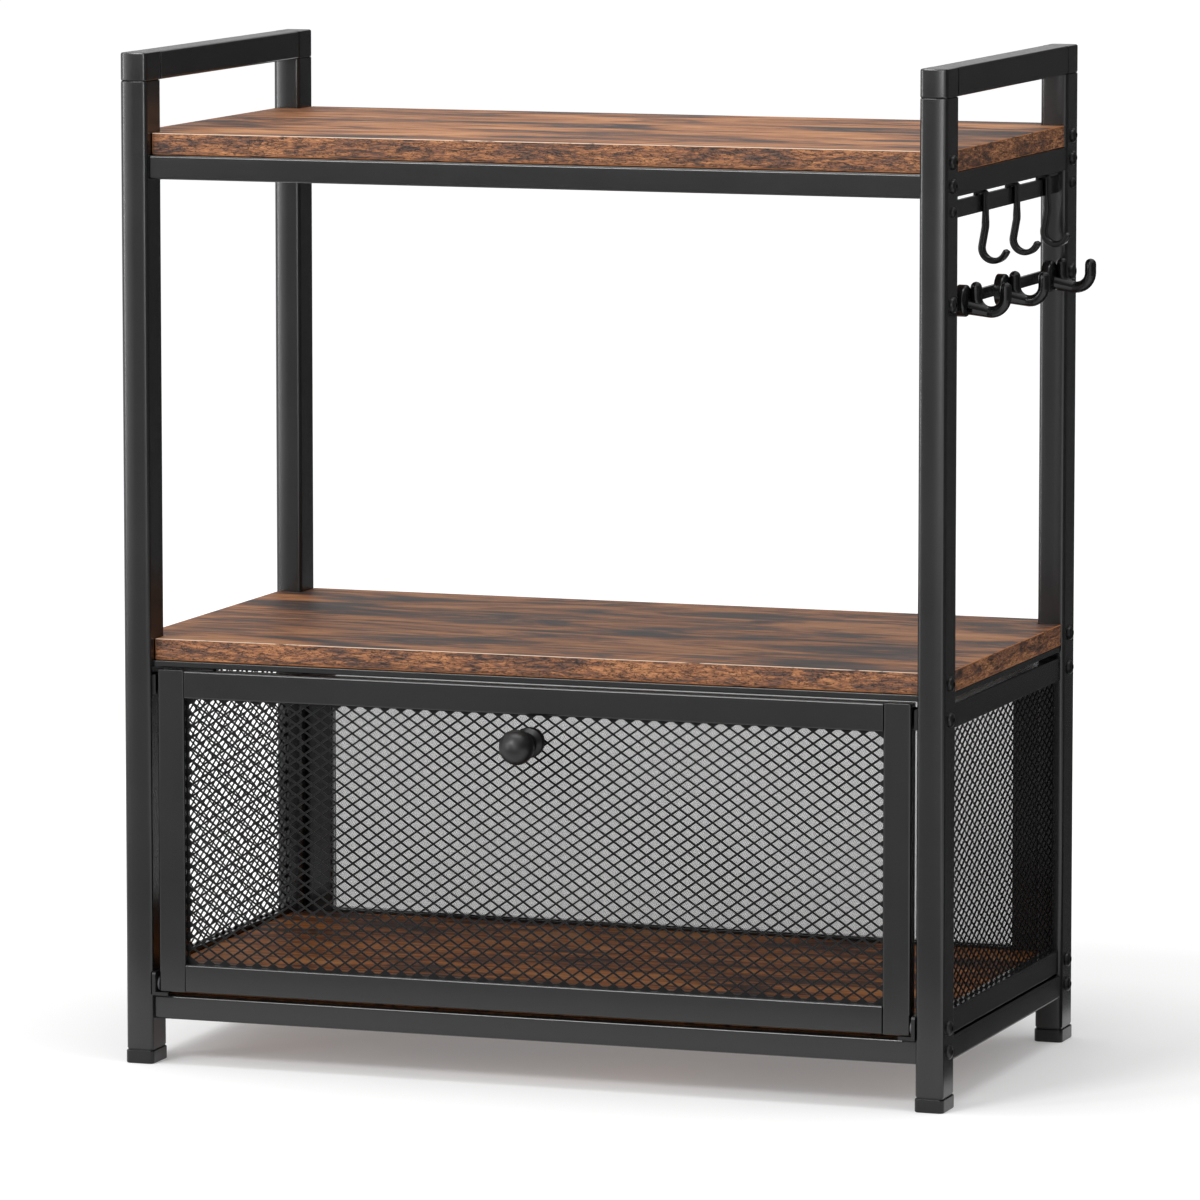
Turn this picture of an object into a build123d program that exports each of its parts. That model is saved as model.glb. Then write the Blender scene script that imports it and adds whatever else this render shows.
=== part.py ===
"""Microwave stand: two tube side frames, three boards and a mesh cabinet with a flip-down door.

The stand's front faces -Y and its hooks are on the +X side. The origin is on the floor, in the
middle between the four legs. All sizes are in millimetres.
"""

from math import cos, radians, sin
import os

from build123d import *

# Overall size
stand_width = 600.0  # across the outer faces of the legs, left to right
stand_depth = 320.0  # across the outer faces of the legs, front to back
stand_height = 711.0  # floor to the top of the side handles

# Tubes of the side frames
leg_width = 20.0
leg_depth = 28.0
tube_wall = 1.2
tube_round = 3.0
end_plate = 3.0  # welded into the ends of a bolted rail

# Feet, pressed into the bottoms of the legs
foot_height = 9.5
foot_flare = 0.5  # how far a foot stands out past its leg on each side
neck_height = 1.0
neck_inset = 0.6
plug_depth = 16.0
plug_clearance = 0.15

# Corner blocks between legs and handle bars
block_height = 20.0
block_edge = 1.5
spigot_length = 14.0

# Boards
board_thickness = 15.0
board_front_inset = 9.0
board_side_inset = 2.0
board_rear_inset = 2.0
board_clearance = 0.5  # round the legs
board_edge = 0.8
handle_gap = 36.0  # between the top board and the handle bars
middle_board_top = 301.0

# Rails under the top and bottom boards, and strips under the middle board
rail_height = 17.0
rail_thickness = 18.0
bottom_rail_base = 32.0
strip_height = 4.5
strip_width = 16.0

# Mesh panels at the sides and the back of the cabinet
panel_thickness = 10.0
panel_inset = 2.5  # panel's outer face behind the legs' outer faces
panel_bar = 17.0
back_stile = 20.0
panel_wall = 1.0
panel_gap_below = 1.0
panel_gap_above = 4.0

# Expanded-metal nets
net_thickness = 1.2
net_strand = 3.0
net_border = 2.0
net_pitch_width = 46.0
net_pitch_height = 28.5

# Flip-down door
door_bar = 20.0
door_thickness = 12.0
door_wall = 1.2
door_round = 2.0
door_recess = 2.7  # door's front face behind the legs' front faces
door_side_gap = 4.3
door_gap_below = 3.0
door_gap_above = 1.5
pivot_setback = 5.0  # pivot axis behind the door's front face
pivot_rise = 5.0  # pivot axis above the door's bottom edge
open_angle = 90.0

# Pivot hardware
pin_diameter = 5.0
pin_clearance = 0.05
bush_diameter = 7.0
bush_flange_diameter = 10.0
bush_flange = 1.2
bush_length = 8.0
bush_seat_clearance = 0.05
bracket_thickness = 2.5
bracket_corner = 2.5
stop_reach = 12.0
stop_thickness = 2.4
stop_clearance = 0.3
door_swing_clearance = 0.5
seat_clearance = 0.3

# Catches behind the tops of the door's stiles
catch_tab_reach = 18.0
catch_tab_thickness = 2.0
catch_height = 14.0
magnet_width = 10.0
magnet_height = 10.0
magnet_clearance = 0.4

# Knob
knob_diameter = 24.5
knob_neck_diameter = 14.0
knob_foot_diameter = 21.4
knob_foot_edge = 4.0  # straight edge of the foot before it curves in
knob_reach = 28.0  # ball centre in front of the washer
knob_drop = 19.0  # knob axis below the door's top rail
knob_plate_diameter = 20.0
washer_diameter = 18.0
washer_thickness = 1.2
knob_screw_diameter = 4.0
knob_screw_depth = 14.0

# Rubber bumper on the door's top edge
bumper_length = 8.0
bumper_width = 7.0
bumper_height = 1.0
bumper_edge = 0.6
bumper_from_left = 37.0  # bumper's middle from the door's left edge

# Frame bolts and board screws, all with the same domed head
bolt_diameter = 5.0
bolt_clearance = 0.2
head_diameter = 10.0
head_height = 3.0
head_rim = 0.9  # height of the head's straight edge under its dome
socket_across = 3.0
socket_depth = 1.6
bolt_grip = 11.0  # reach past the leg's inner face
board_screw_diameter = 4.0
board_screw_grip = 15.0
pilot_clearance = 0.05

# Small countersunk and pan-head screws
small_screw_diameter = 3.5
small_head_diameter = 7.0
small_head_height = 2.2
strip_screw_bite = 9.0
strip_screw_spacing = 200.0
strip_screw_side_spacing = 120.0

# Hook bars between the right legs
upper_bar_height = 12.0
lower_bar_height = 8.0
hook_bar_thickness = 3.0
hook_bar_inset = 6.0  # bar's outer face behind the legs' outer faces
hook_bar_reach = 18.0  # how far a bar's end goes into its leg
hook_bar_slot = 0.3  # clearance round a bar in its leg's slot
upper_bar_drop = 3.2  # upper bar's top below the top rails
lower_bar_drop = 64.5  # lower bar's top below the upper bar's top
lower_cap_diameter = 11.0  # large heads at the lower bar's ends
lower_cap_height = 3.0

# J hooks, which hang over the upper bar: a flat saddle that swells into a thicker bend
j_strap = 2.8
j_strap_width = 9.0
j_thickness = 4.0
j_width = 7.0
j_clearance = 0.3
j_saddle_radius = 1.9
j_back_leg = 9.0
j_swell = 7.0  # length over which the strap grows to the full thickness
j_straight = 3.0  # upright part under the swell, before the shank leans in
j_lean = 10.0  # how far the shank leans in under the bar, in degrees
j_lean_radius = 12.0
j_radius = 8.8
j_drop = 38.5  # from the top of the saddle's centre line to the centre of the bend
j_turn = 150.0
j_tip = 4.0
j_strap_edge = 0.7
j_edge = 1.9
j_tip_round = 1.4
j_front_gap = 77.5  # front leg to the middle of the first hook
j_rear_gap = 34.5

# Cradle hooks, moulded, which are screwed to the lower bar
cradle_base_width = 22.0
cradle_base_height = 22.0
cradle_base_round = 10.8
cradle_base_thickness = 6.5
cradle_rod = 8.0
cradle_spacing = 21.0  # between the two prongs' centre lines
cradle_prong = 6.0
cradle_foot_drop = 7.0  # base's lower edge below the bar's lower edge
cradle_fork_drop = 1.0  # fork's lowest point below the base's lower edge
cradle_fork_offset = 9.0  # fork behind the middle of its base
cradle_arm_offset = 3.5  # root of the arm behind the middle of its base
cradle_arm_rise = 7.0  # root of the arm above the base's lower edge
cradle_arm_root = 5.5  # radius at the root
cradle_screw_offset = 4.8  # screw in front of the middle of its base
cradle_middle_shift = 12.0  # middle hook in front of the middle between the other two
cradle_front_gap = 10.0  # front leg to the first base
cradle_rear_gap = 22.0
cradle_screw_sink = 2.4

# Places worked out from the sizes above
half_width = stand_width / 2
half_depth = stand_depth / 2
leg_x = half_width - leg_width / 2
leg_y = half_depth - leg_depth / 2
inner_x = half_width - leg_width
inner_y = half_depth - leg_depth
leg_base = foot_height + neck_height
leg_top = stand_height - block_height
top_board_top = leg_top - handle_gap
top_board_base = top_board_top - board_thickness
top_rail_base = top_board_base - rail_height
middle_board_base = middle_board_top - board_thickness
strip_base = middle_board_base - strip_height
bottom_rail_top = bottom_rail_base + rail_height
bottom_board_top = bottom_rail_top + board_thickness
panel_base = bottom_rail_top + panel_gap_below
panel_top = strip_base - panel_gap_above
panel_x = half_width - panel_inset - panel_thickness / 2
door_base = bottom_rail_top + door_gap_below
door_top = strip_base - door_gap_above
door_half = inner_x - door_side_gap
door_front = -half_depth + door_recess
door_middle = door_front + door_thickness / 2
door_rear = door_front + door_thickness
pivot_y = door_front + pivot_setback
pivot_z = door_base + pivot_rise
door_corner_reach = ((door_thickness - pivot_setback) ** 2 + pivot_rise**2) ** 0.5
bottom_board_front = pivot_y + door_corner_reach + door_swing_clearance
bottom_board_rear = leg_y - panel_thickness / 2 - panel_gap_below
bottom_board_side = half_width - panel_inset - panel_thickness - panel_gap_below
bracket_inner_x = inner_x - bracket_thickness
knob_z = door_top - door_bar - knob_drop
hook_bar_x = half_width - hook_bar_inset
upper_bar_top = top_rail_base - upper_bar_drop
lower_bar_top = upper_bar_top - lower_bar_drop
j_first_y = -inner_y + j_front_gap
j_last_y = inner_y - j_rear_gap
j_places = {"front": j_first_y, "middle": (j_first_y + j_last_y) / 2, "rear": j_last_y}
cradle_first_y = -inner_y + cradle_front_gap + cradle_base_width / 2
cradle_last_y = inner_y - cradle_rear_gap - cradle_base_width / 2
cradle_places = {
    "front": cradle_first_y,
    "middle": (cradle_first_y + cradle_last_y) / 2 - cradle_middle_shift,
    "rear": cradle_last_y,
}
top_rail_middle = top_rail_base + rail_height / 2
bottom_rail_middle = bottom_rail_base + rail_height / 2
top_board_middle = top_board_base + board_thickness / 2
middle_board_middle = middle_board_base + board_thickness / 2
upper_panel_bolt = panel_top - panel_bar / 2
lower_panel_bolt = panel_base + panel_bar / 2

sides = {"left": -1, "right": 1}
ends = {"front": -1, "rear": 1}

os.makedirs("parts", exist_ok=True)


def save(piece, name):
    """Label a finished piece and write it under its name"""
    piece.label = name
    export_step(piece, f"parts/{name}.step")
    return piece


def rect_tube(start, along, width, height, length, wall, corner, plate=0.0):
    """A rounded rectangular tube that starts at a point and runs along +X, +Y or +Z

    width runs along Y on a tube along X, and along X otherwise. plate closes both ends.
    """
    across = (0, 1, 0) if along[0] else (1, 0, 0)
    outer_plane = Plane(origin=start, x_dir=across, z_dir=along)
    with BuildPart() as tube:
        with BuildSketch(outer_plane):
            RectangleRounded(width, height, corner)
        extrude(amount=length)
        with BuildSketch(outer_plane.offset(plate)):
            RectangleRounded(width - 2 * wall, height - 2 * wall, corner - wall)
        extrude(amount=length - 2 * plate, mode=Mode.SUBTRACT)
    return tube.part


def drill_along_x(piece, start_x, length, places, diameter):
    """Drill round holes along +X into a piece, at (y, z) places"""
    with BuildPart() as drilled:
        add(piece)
        with BuildSketch(Plane(origin=(start_x, 0, 0), x_dir=(0, 1, 0), z_dir=(1, 0, 0))):
            with Locations(*places):
                Circle(diameter / 2)
        extrude(amount=length, mode=Mode.SUBTRACT)
    return drilled.part


def domed_bolt(shank_diameter, shank_length, point=0.0):
    """A bolt along -X whose head's seat is at the origin, with a hex socket and maybe a point"""
    shank = shank_diameter / 2
    head = head_diameter / 2
    dome_rise = head_height - head_rim
    dome_radius = (head**2 + dome_rise**2) / (2 * dome_rise)
    dome_centre = head_height - dome_radius
    halfway = (dome_centre + (dome_radius**2 - head**2 / 4) ** 0.5, head / 2)
    with BuildPart() as bolt:
        with BuildSketch(Plane.XY):
            with BuildLine():
                Polyline(
                    (head_height, 0),
                    (-shank_length - point, 0),
                    (-shank_length, shank),
                    (0, shank),
                    (0, head),
                    (head_rim, head),
                )
                ThreePointArc((head_rim, head), halfway, (head_height, 0))
            make_face()
        revolve(axis=Axis.X)
        with BuildSketch(Plane.YZ.offset(head_height - socket_depth)):
            RegularPolygon(socket_across / 2, 6, major_radius=False)
        extrude(amount=socket_depth, mode=Mode.SUBTRACT)
    return bolt.part


def small_screw(bite, countersunk, head_width=small_head_diameter, head_top=small_head_height):
    """A small screw along -Z whose head's seat plane is at the origin"""
    shank = small_screw_diameter / 2
    head = head_width / 2
    with BuildPart() as screw:
        with BuildSketch(Plane.XZ):
            with BuildLine():
                if countersunk:
                    Polyline((0, 0), (head, 0), (shank, shank - head), (shank, -bite), (0, -bite), (0, 0))
                else:
                    Polyline(
                        (0, head_top),
                        (head * 0.7, head_top),
                        (head, head_top * 0.5),
                        (head, 0),
                        (shank, 0),
                        (shank, -bite),
                        (0, -bite),
                        (0, head_top),
                    )
            make_face()
        revolve(axis=Axis.Z)
    return screw.part


def group(piece, places):
    """Copies of one fastener, each a separate solid, at a list of locations"""
    with BuildPart() as copies:
        with Locations(*places):
            add(piece)
    return copies.part


def expanded_net(plane, width, height, plate_at=None):
    """A flat net of diamond gaps with a thin border, centred on a plane

    plate_at gives the middle of a round plate with a screw hole, in the plane's own directions.
    """
    columns = max(2, round(width / net_pitch_width))
    rows = max(2, round(height / net_pitch_height))
    pitch_w = width / columns
    pitch_h = height / rows
    half_w = pitch_w / 2
    half_h = pitch_h / 2
    side_distance = half_w * half_h / (half_w**2 + half_h**2) ** 0.5
    shrink = 1 - net_strand / 2 / side_distance
    with BuildSketch() as gaps:
        for nx, ny in ((columns, rows), (columns + 1, rows + 1)):
            with GridLocations(pitch_w, pitch_h, nx, ny):
                Polygon(
                    (-half_w * shrink, 0),
                    (0, -half_h * shrink),
                    (half_w * shrink, 0),
                    (0, half_h * shrink),
                    align=None,
                )
        Rectangle(width - 2 * net_border, height - 2 * net_border, mode=Mode.INTERSECT)
        if plate_at:
            with Locations(plate_at):
                Circle(knob_plate_diameter / 2, mode=Mode.SUBTRACT)
                Circle(knob_screw_diameter / 2 + bolt_clearance)
    with BuildPart() as net:
        with BuildSketch(plane.offset(-net_thickness / 2)):
            Rectangle(width, height)
            add(gaps.sketch, mode=Mode.SUBTRACT)
        extrude(amount=net_thickness)
    return net.part


def x_bolt_places(side, heights, end):
    """Where bolts along X stand on the outer face of one leg"""
    turn = 0 if side > 0 else 180
    return [Location((side * half_width, end * leg_y, z), (0, 0, turn)) for z in heights]


# Heights of the bolts through a leg, by what they hold
rail_bolt_heights = [top_rail_middle, bottom_rail_middle]
board_screw_heights = [top_board_middle, middle_board_middle]
door_bolt_heights = [upper_panel_bolt, pivot_z]
panel_bolt_heights = [upper_panel_bolt, lower_panel_bolt]
hook_bar_heights = {"upper": upper_bar_height, "lower": lower_bar_height}
hook_bar_middles = {
    "upper": upper_bar_top - upper_bar_height / 2,
    "lower": lower_bar_top - lower_bar_height / 2,
}

# Legs: tubes with holes for the bolts, drilled right through
for side_name, side in sides.items():
    for end_name, end in ends.items():
        through = door_bolt_heights if end < 0 else panel_bolt_heights
        heights = rail_bolt_heights + board_screw_heights + through
        leg = rect_tube(
            (side * leg_x, end * leg_y, leg_base),
            (0, 0, 1),
            leg_width,
            leg_depth,
            leg_top - leg_base,
            tube_wall,
            tube_round,
        )
        leg = drill_along_x(
            leg,
            side * leg_x - leg_width / 2,
            leg_width,
            [(end * leg_y, z) for z in heights],
            bolt_diameter + 2 * bolt_clearance,
        )
        if side > 0:
            with BuildPart() as slotted_leg:
                add(leg)
                inner_wall = Plane(origin=(0, end * inner_y, 0), x_dir=(1, 0, 0), z_dir=(0, end, 0))
                bar_middle_x = hook_bar_x - hook_bar_thickness / 2
                with BuildSketch(inner_wall):
                    for bar_name, z in hook_bar_middles.items():
                        with Locations((bar_middle_x, -end * z)):
                            Rectangle(
                                hook_bar_thickness + 2 * hook_bar_slot,
                                hook_bar_heights[bar_name] + 2 * hook_bar_slot,
                            )
                extrude(amount=tube_wall, mode=Mode.SUBTRACT)
            screw_spots = [(end * leg_y, z) for z in hook_bar_middles.values()]
            screw_hole = small_screw_diameter + 2 * pilot_clearance
            leg = drill_along_x(
                slotted_leg.part, half_width - tube_wall, tube_wall, screw_spots, screw_hole
            )
        save(leg, f"leg_{end_name}_{side_name}")

# Feet: a flared pad, a recessed neck and a plug inside the leg
with BuildPart() as foot:
    with BuildSketch(Plane.XY):
        RectangleRounded(leg_width + 2 * foot_flare, leg_depth + 2 * foot_flare, tube_round)
    extrude(amount=foot_height)
    pad_rims = foot.faces().sort_by(Axis.Z)[0].edges() + foot.faces().sort_by(Axis.Z)[-1].edges()
    chamfer(pad_rims, 0.8)
    with BuildSketch(Plane.XY.offset(foot_height)):
        RectangleRounded(leg_width - 2 * neck_inset, leg_depth - 2 * neck_inset, tube_round - neck_inset)
    extrude(amount=neck_height)
    plug_inset = tube_wall + plug_clearance
    with BuildSketch(Plane.XY.offset(leg_base)):
        RectangleRounded(leg_width - 2 * plug_inset, leg_depth - 2 * plug_inset, tube_round - plug_inset)
    extrude(amount=plug_depth)
leg_centres = [Location((sx * leg_x, sy * leg_y, 0)) for sx in (-1, 1) for sy in (-1, 1)]
save(group(foot.part, leg_centres), "feet")

# Corner blocks: one spigot goes down into the leg, the other sideways into the handle bar
with BuildPart() as corner_block:
    with BuildSketch(Plane.XY.offset(leg_top)):
        RectangleRounded(leg_width, leg_depth, tube_round)
    extrude(amount=block_height)
    chamfer(corner_block.faces().sort_by(Axis.Z)[-1].edges(), block_edge)
    spigot_width = leg_width - 2 * (tube_wall + plug_clearance)
    spigot_depth = leg_depth - 2 * (tube_wall + plug_clearance)
    with BuildSketch(Plane.XY.offset(leg_top)):
        RectangleRounded(spigot_width, spigot_depth, tube_round - tube_wall)
    extrude(amount=-spigot_length)
    bar_height = block_height - 2 * (tube_wall + plug_clearance)
    with BuildSketch(Plane(origin=(0, leg_depth / 2, leg_top + block_height / 2), z_dir=(0, 1, 0))):
        RectangleRounded(spigot_width, bar_height, tube_round - tube_wall)
    extrude(amount=spigot_length)
block_places = [Location((sx * leg_x, sy * leg_y, 0), (0, 0, 90 + sy * 90)) for sx in (-1, 1) for sy in (-1, 1)]
save(group(corner_block.part, block_places), "corner_blocks")

# Handle bars between the corner blocks
for side_name, side in sides.items():
    handle_bar = rect_tube(
        (side * leg_x, -inner_y, leg_top + block_height / 2),
        (0, 1, 0),
        leg_width,
        block_height,
        2 * inner_y,
        tube_wall,
        tube_round,
    )
    save(handle_bar, f"handle_bar_{side_name}")


def bolted_rail(y, base, height, thickness, wall, corner):
    """A rail along X between two legs, with a tapped plate in each end"""
    middle = base + height / 2
    rail = rect_tube((-inner_x, y, middle), (1, 0, 0), thickness, height, 2 * inner_x, wall, corner, end_plate)
    hole = bolt_diameter + 2 * pilot_clearance
    rail = drill_along_x(rail, -inner_x, end_plate, [(y, middle)], hole)
    return drill_along_x(rail, inner_x - end_plate, end_plate, [(y, middle)], hole)


# Rails under the top and the bottom board
for level, base in (("top", top_rail_base), ("bottom", bottom_rail_base)):
    for end_name, end in ends.items():
        rail = bolted_rail(end * leg_y, base, rail_height, rail_thickness, tube_wall, tube_round)
        save(rail, f"{level}_rail_{end_name}")
    for side_name, side in sides.items():
        rail = rect_tube(
            (side * leg_x, -inner_y, base + rail_height / 2),
            (0, 1, 0),
            rail_thickness,
            rail_height,
            2 * inner_y,
            tube_wall,
            tube_round,
        )
        save(rail, f"{level}_rail_{side_name}")

# Strips under the middle board, screwed up into it
cross_places = [-strip_screw_spacing, 0.0, strip_screw_spacing]
side_places = [-strip_screw_side_spacing / 2, strip_screw_side_spacing / 2]
strip_screw_spots = [(x, end * leg_y) for end in (-1, 1) for x in cross_places]
strip_screw_spots += [(side * leg_x, y) for side in (-1, 1) for y in side_places]


def flat_strip(length_x, length_y, x, y, screw_spots):
    """A flat strip with countersunk screw holes from below"""
    with BuildPart() as strip:
        with BuildSketch(Plane(origin=(x, y, strip_base))):
            RectangleRounded(length_x, length_y, 1.0)
        extrude(amount=strip_height)
        chamfer(strip.faces().filter_by(Axis.Z).edges(), 0.4)
        with BuildSketch(Plane(origin=(0, 0, strip_base))):
            with Locations(*screw_spots):
                Circle(small_screw_diameter / 2 + pilot_clearance)
        extrude(amount=strip_height, mode=Mode.SUBTRACT)
        head_rim = small_head_diameter / 2 + pilot_clearance
        with BuildSketch(Plane(origin=(0, 0, strip_base))):
            with Locations(*screw_spots):
                Circle(head_rim)
        extrude(amount=head_rim - pilot_clearance, taper=45, mode=Mode.SUBTRACT)
    return strip.part


for end_name, end in ends.items():
    spots = [(x, end * leg_y) for x in cross_places]
    strip = flat_strip(2 * inner_x, strip_width, 0, end * leg_y, spots)
    save(strip, f"shelf_strip_{end_name}")
for side_name, side in sides.items():
    spots = [(side * leg_x, y) for y in side_places]
    strip = flat_strip(strip_width, 2 * inner_y, side * leg_x, 0, spots)
    save(strip, f"shelf_strip_{side_name}")


def notched_board(base, side, front, rear, pilot_heights, front_plates=0.0):
    """A board with its corners cut out round the legs and pilot holes for the side screws

    front_plates is the thickness of a bracket on the front legs that the board also clears.
    """
    with BuildPart() as board:
        with BuildSketch(Plane.XY.offset(base)):
            with Locations((0, (front + rear) / 2)):
                Rectangle(2 * side, rear - front)
            notch_depth = leg_depth + 2 * board_clearance
            for notch_y, plate in ((-leg_y, front_plates), (leg_y, 0.0)):
                notch_width = leg_width + 2 * (board_clearance + plate)
                with Locations((-leg_x, notch_y), (leg_x, notch_y)):
                    Rectangle(notch_width, notch_depth, mode=Mode.SUBTRACT)
        extrude(amount=board_thickness)
        chamfer(board.faces().filter_by(Axis.Z).edges(), board_edge)
        for z in pilot_heights:
            for turn in (-1, 1):
                notch_wall = Plane(origin=(turn * (inner_x - board_clearance), 0, z), x_dir=(0, 1, 0), z_dir=(turn, 0, 0))
                with BuildSketch(notch_wall):
                    with Locations((-leg_y, 0), (leg_y, 0)):
                        Circle(board_screw_diameter / 2 + pilot_clearance)
                extrude(amount=-board_screw_grip, mode=Mode.SUBTRACT)
    return board.part


shelf_side = half_width - board_side_inset
shelf_front = -half_depth + board_front_inset
shelf_rear = half_depth - board_rear_inset
top_board = notched_board(top_board_base, shelf_side, shelf_front, shelf_rear, [top_board_middle])
save(top_board, "top_board")
with BuildPart() as middle_board:
    add(notched_board(middle_board_base, shelf_side, shelf_front, shelf_rear, [middle_board_middle]))
    with BuildSketch(Plane.XY.offset(middle_board_base)):
        with Locations(*strip_screw_spots):
            Circle(small_screw_diameter / 2 + pilot_clearance)
    extrude(amount=strip_screw_bite, mode=Mode.SUBTRACT)
save(middle_board.part, "middle_board")
bottom_board = notched_board(
    bottom_rail_top,
    bottom_board_side,
    bottom_board_front,
    bottom_board_rear,
    [],
    bracket_thickness,
)
save(bottom_board, "bottom_board")

# Back panel: stiles bolted to the rear legs, bars between them, and a net in the frame
panel_height = panel_top - panel_base
back_net_height = panel_height - 2 * panel_bar
with BuildPart() as back_stiles:
    for side in (-1, 1):
        start = (side * (inner_x - back_stile / 2), leg_y, panel_base)
        add(rect_tube(start, (0, 0, 1), back_stile, panel_thickness, panel_height, panel_wall, 1.5, end_plate))
    for side in (-1, 1):
        with BuildSketch(Plane(origin=(side * inner_x, 0, 0), x_dir=(0, 1, 0), z_dir=(side, 0, 0))):
            with Locations(*[(leg_y, side * z) for z in panel_bolt_heights]):
                Circle(bolt_diameter / 2 + pilot_clearance)
        extrude(amount=-bolt_grip - pilot_clearance, mode=Mode.SUBTRACT)
save(back_stiles.part, "back_panel_stiles")
back_opening = 2 * (inner_x - back_stile)
with BuildPart() as back_bars:
    for z in (panel_base + panel_bar / 2, panel_top - panel_bar / 2):
        start = (-back_opening / 2, leg_y, z)
        add(rect_tube(start, (1, 0, 0), panel_thickness, panel_bar, back_opening, panel_wall, 1.5))
save(back_bars.part, "back_panel_bars")
panel_middle = (panel_base + panel_top) / 2
back_plane = Plane(origin=(0, leg_y, panel_middle), x_dir=(1, 0, 0), z_dir=(0, -1, 0))
save(expanded_net(back_plane, back_opening, back_net_height), "back_panel_net")

# Side panels: two bars and a net, welded straight to the front and the rear leg
side_opening = 2 * inner_y
for side_name, side in sides.items():
    x = side * panel_x
    with BuildPart() as bars:
        for z in (panel_base + panel_bar / 2, panel_top - panel_bar / 2):
            start = (x, -side_opening / 2, z)
            add(rect_tube(start, (0, 1, 0), panel_thickness, panel_bar, side_opening, panel_wall, 1.5))
    save(bars.part, f"{side_name}_panel_bars")
    side_plane = Plane(origin=(x, 0, panel_middle), x_dir=(0, 1, 0), z_dir=(1, 0, 0))
    save(expanded_net(side_plane, side_opening, back_net_height), f"{side_name}_panel_net")

# Door: two stiles from top to bottom, two rails between them, a net with a plate for the knob
door_height = door_top - door_base
bush_hole = bush_diameter + 2 * bush_seat_clearance
for side_name, side in sides.items():
    start = (side * (door_half - door_bar / 2), door_middle, door_base)
    stile = rect_tube(start, (0, 0, 1), door_bar, door_thickness, door_height, door_wall, door_round, door_wall)
    with BuildPart() as drilled_stile:
        add(stile)
        with BuildSketch(Plane(origin=(side * door_half, 0, 0), x_dir=(0, 1, 0), z_dir=(side, 0, 0))):
            with Locations((pivot_y, side * pivot_z)):
                Circle(bush_hole / 2)
        extrude(amount=-bush_length, mode=Mode.SUBTRACT)
    save(drilled_stile.part, f"door_stile_{side_name}")
door_opening = 2 * (door_half - door_bar)
for rail_name, z in (("top", door_top - door_bar / 2), ("bottom", door_base + door_bar / 2)):
    start = (-door_opening / 2, door_middle, z)
    rail = rect_tube(start, (1, 0, 0), door_thickness, door_bar, door_opening, door_wall, door_round)
    save(rail, f"door_rail_{rail_name}")
door_net_height = door_height - 2 * door_bar
door_net_middle = (door_base + door_top) / 2
door_plane = Plane(origin=(0, door_middle, door_net_middle), x_dir=(1, 0, 0), z_dir=(0, -1, 0))
door_net = expanded_net(door_plane, door_opening, door_net_height, (0, knob_z - door_net_middle))
save(door_net, "door_net")

# Knob: a ball on a waisted neck, screwed on from behind between two washers
washer_front = door_middle - net_thickness / 2 - washer_thickness
knob_ball = knob_diameter / 2
knob_base = Plane(origin=(0, washer_front, knob_z), x_dir=(1, 0, 0), z_dir=(0, 0, 1))
with BuildPart() as door_knob:
    with BuildSketch(knob_base):
        with BuildLine():
            neck = knob_neck_diameter / 2
            foot_edge = knob_foot_diameter / 2
            neck_meets = -(knob_reach - (knob_ball**2 - neck**2) ** 0.5)
            waist = (neck + (foot_edge - neck) * 0.3, (neck_meets - knob_foot_edge) / 2)
            Polyline((0, -knob_reach - knob_ball), (0, 0), (foot_edge, 0), (foot_edge, -knob_foot_edge))
            ThreePointArc((foot_edge, -knob_foot_edge), waist, (neck, neck_meets))
            ThreePointArc((neck, neck_meets), (knob_ball, -knob_reach), (0, -knob_reach - knob_ball))
        make_face()
    revolve(axis=Axis(origin=(0, washer_front, knob_z), direction=(0, 1, 0)))
    with BuildSketch(Plane(origin=(0, washer_front, knob_z), x_dir=(1, 0, 0), z_dir=(0, -1, 0))):
        Circle(knob_screw_diameter / 2 + pilot_clearance)
    extrude(amount=knob_screw_depth, mode=Mode.SUBTRACT)
save(door_knob.part, "door_knob")
with BuildPart() as washers:
    for y in (washer_front + washer_thickness, door_middle + net_thickness / 2 + washer_thickness):
        with BuildSketch(Plane(origin=(0, y, knob_z), x_dir=(1, 0, 0), z_dir=(0, -1, 0))):
            Circle(washer_diameter / 2)
            Circle(knob_screw_diameter / 2 + bolt_clearance, mode=Mode.SUBTRACT)
        extrude(amount=washer_thickness)
save(washers.part, "knob_washers")
screw_seat = door_middle + net_thickness / 2 + washer_thickness
with BuildPart() as knob_screw:
    with BuildSketch(Plane(origin=(0, screw_seat, knob_z), x_dir=(1, 0, 0), z_dir=(0, 1, 0))):
        Circle(small_head_diameter / 2)
    extrude(amount=small_head_height)
    chamfer(knob_screw.faces().sort_by(Axis.Y)[-1].edges(), 0.8)
    with BuildSketch(Plane(origin=(0, screw_seat, knob_z), x_dir=(1, 0, 0), z_dir=(0, -1, 0))):
        Circle(knob_screw_diameter / 2)
    extrude(amount=screw_seat - washer_front + knob_screw_depth - 1)
save(knob_screw.part, "knob_screw")

# Rubber bumper on the door's top edge
with BuildPart() as bumper:
    with BuildSketch(Plane(origin=(-door_half + bumper_from_left, door_middle, door_top))):
        RectangleRounded(bumper_length, bumper_width, 2.0)
    extrude(amount=bumper_height)
    fillet(bumper.faces().sort_by(Axis.Z)[-1].edges(), bumper_edge)
save(bumper.part, "door_bumper")

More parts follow.
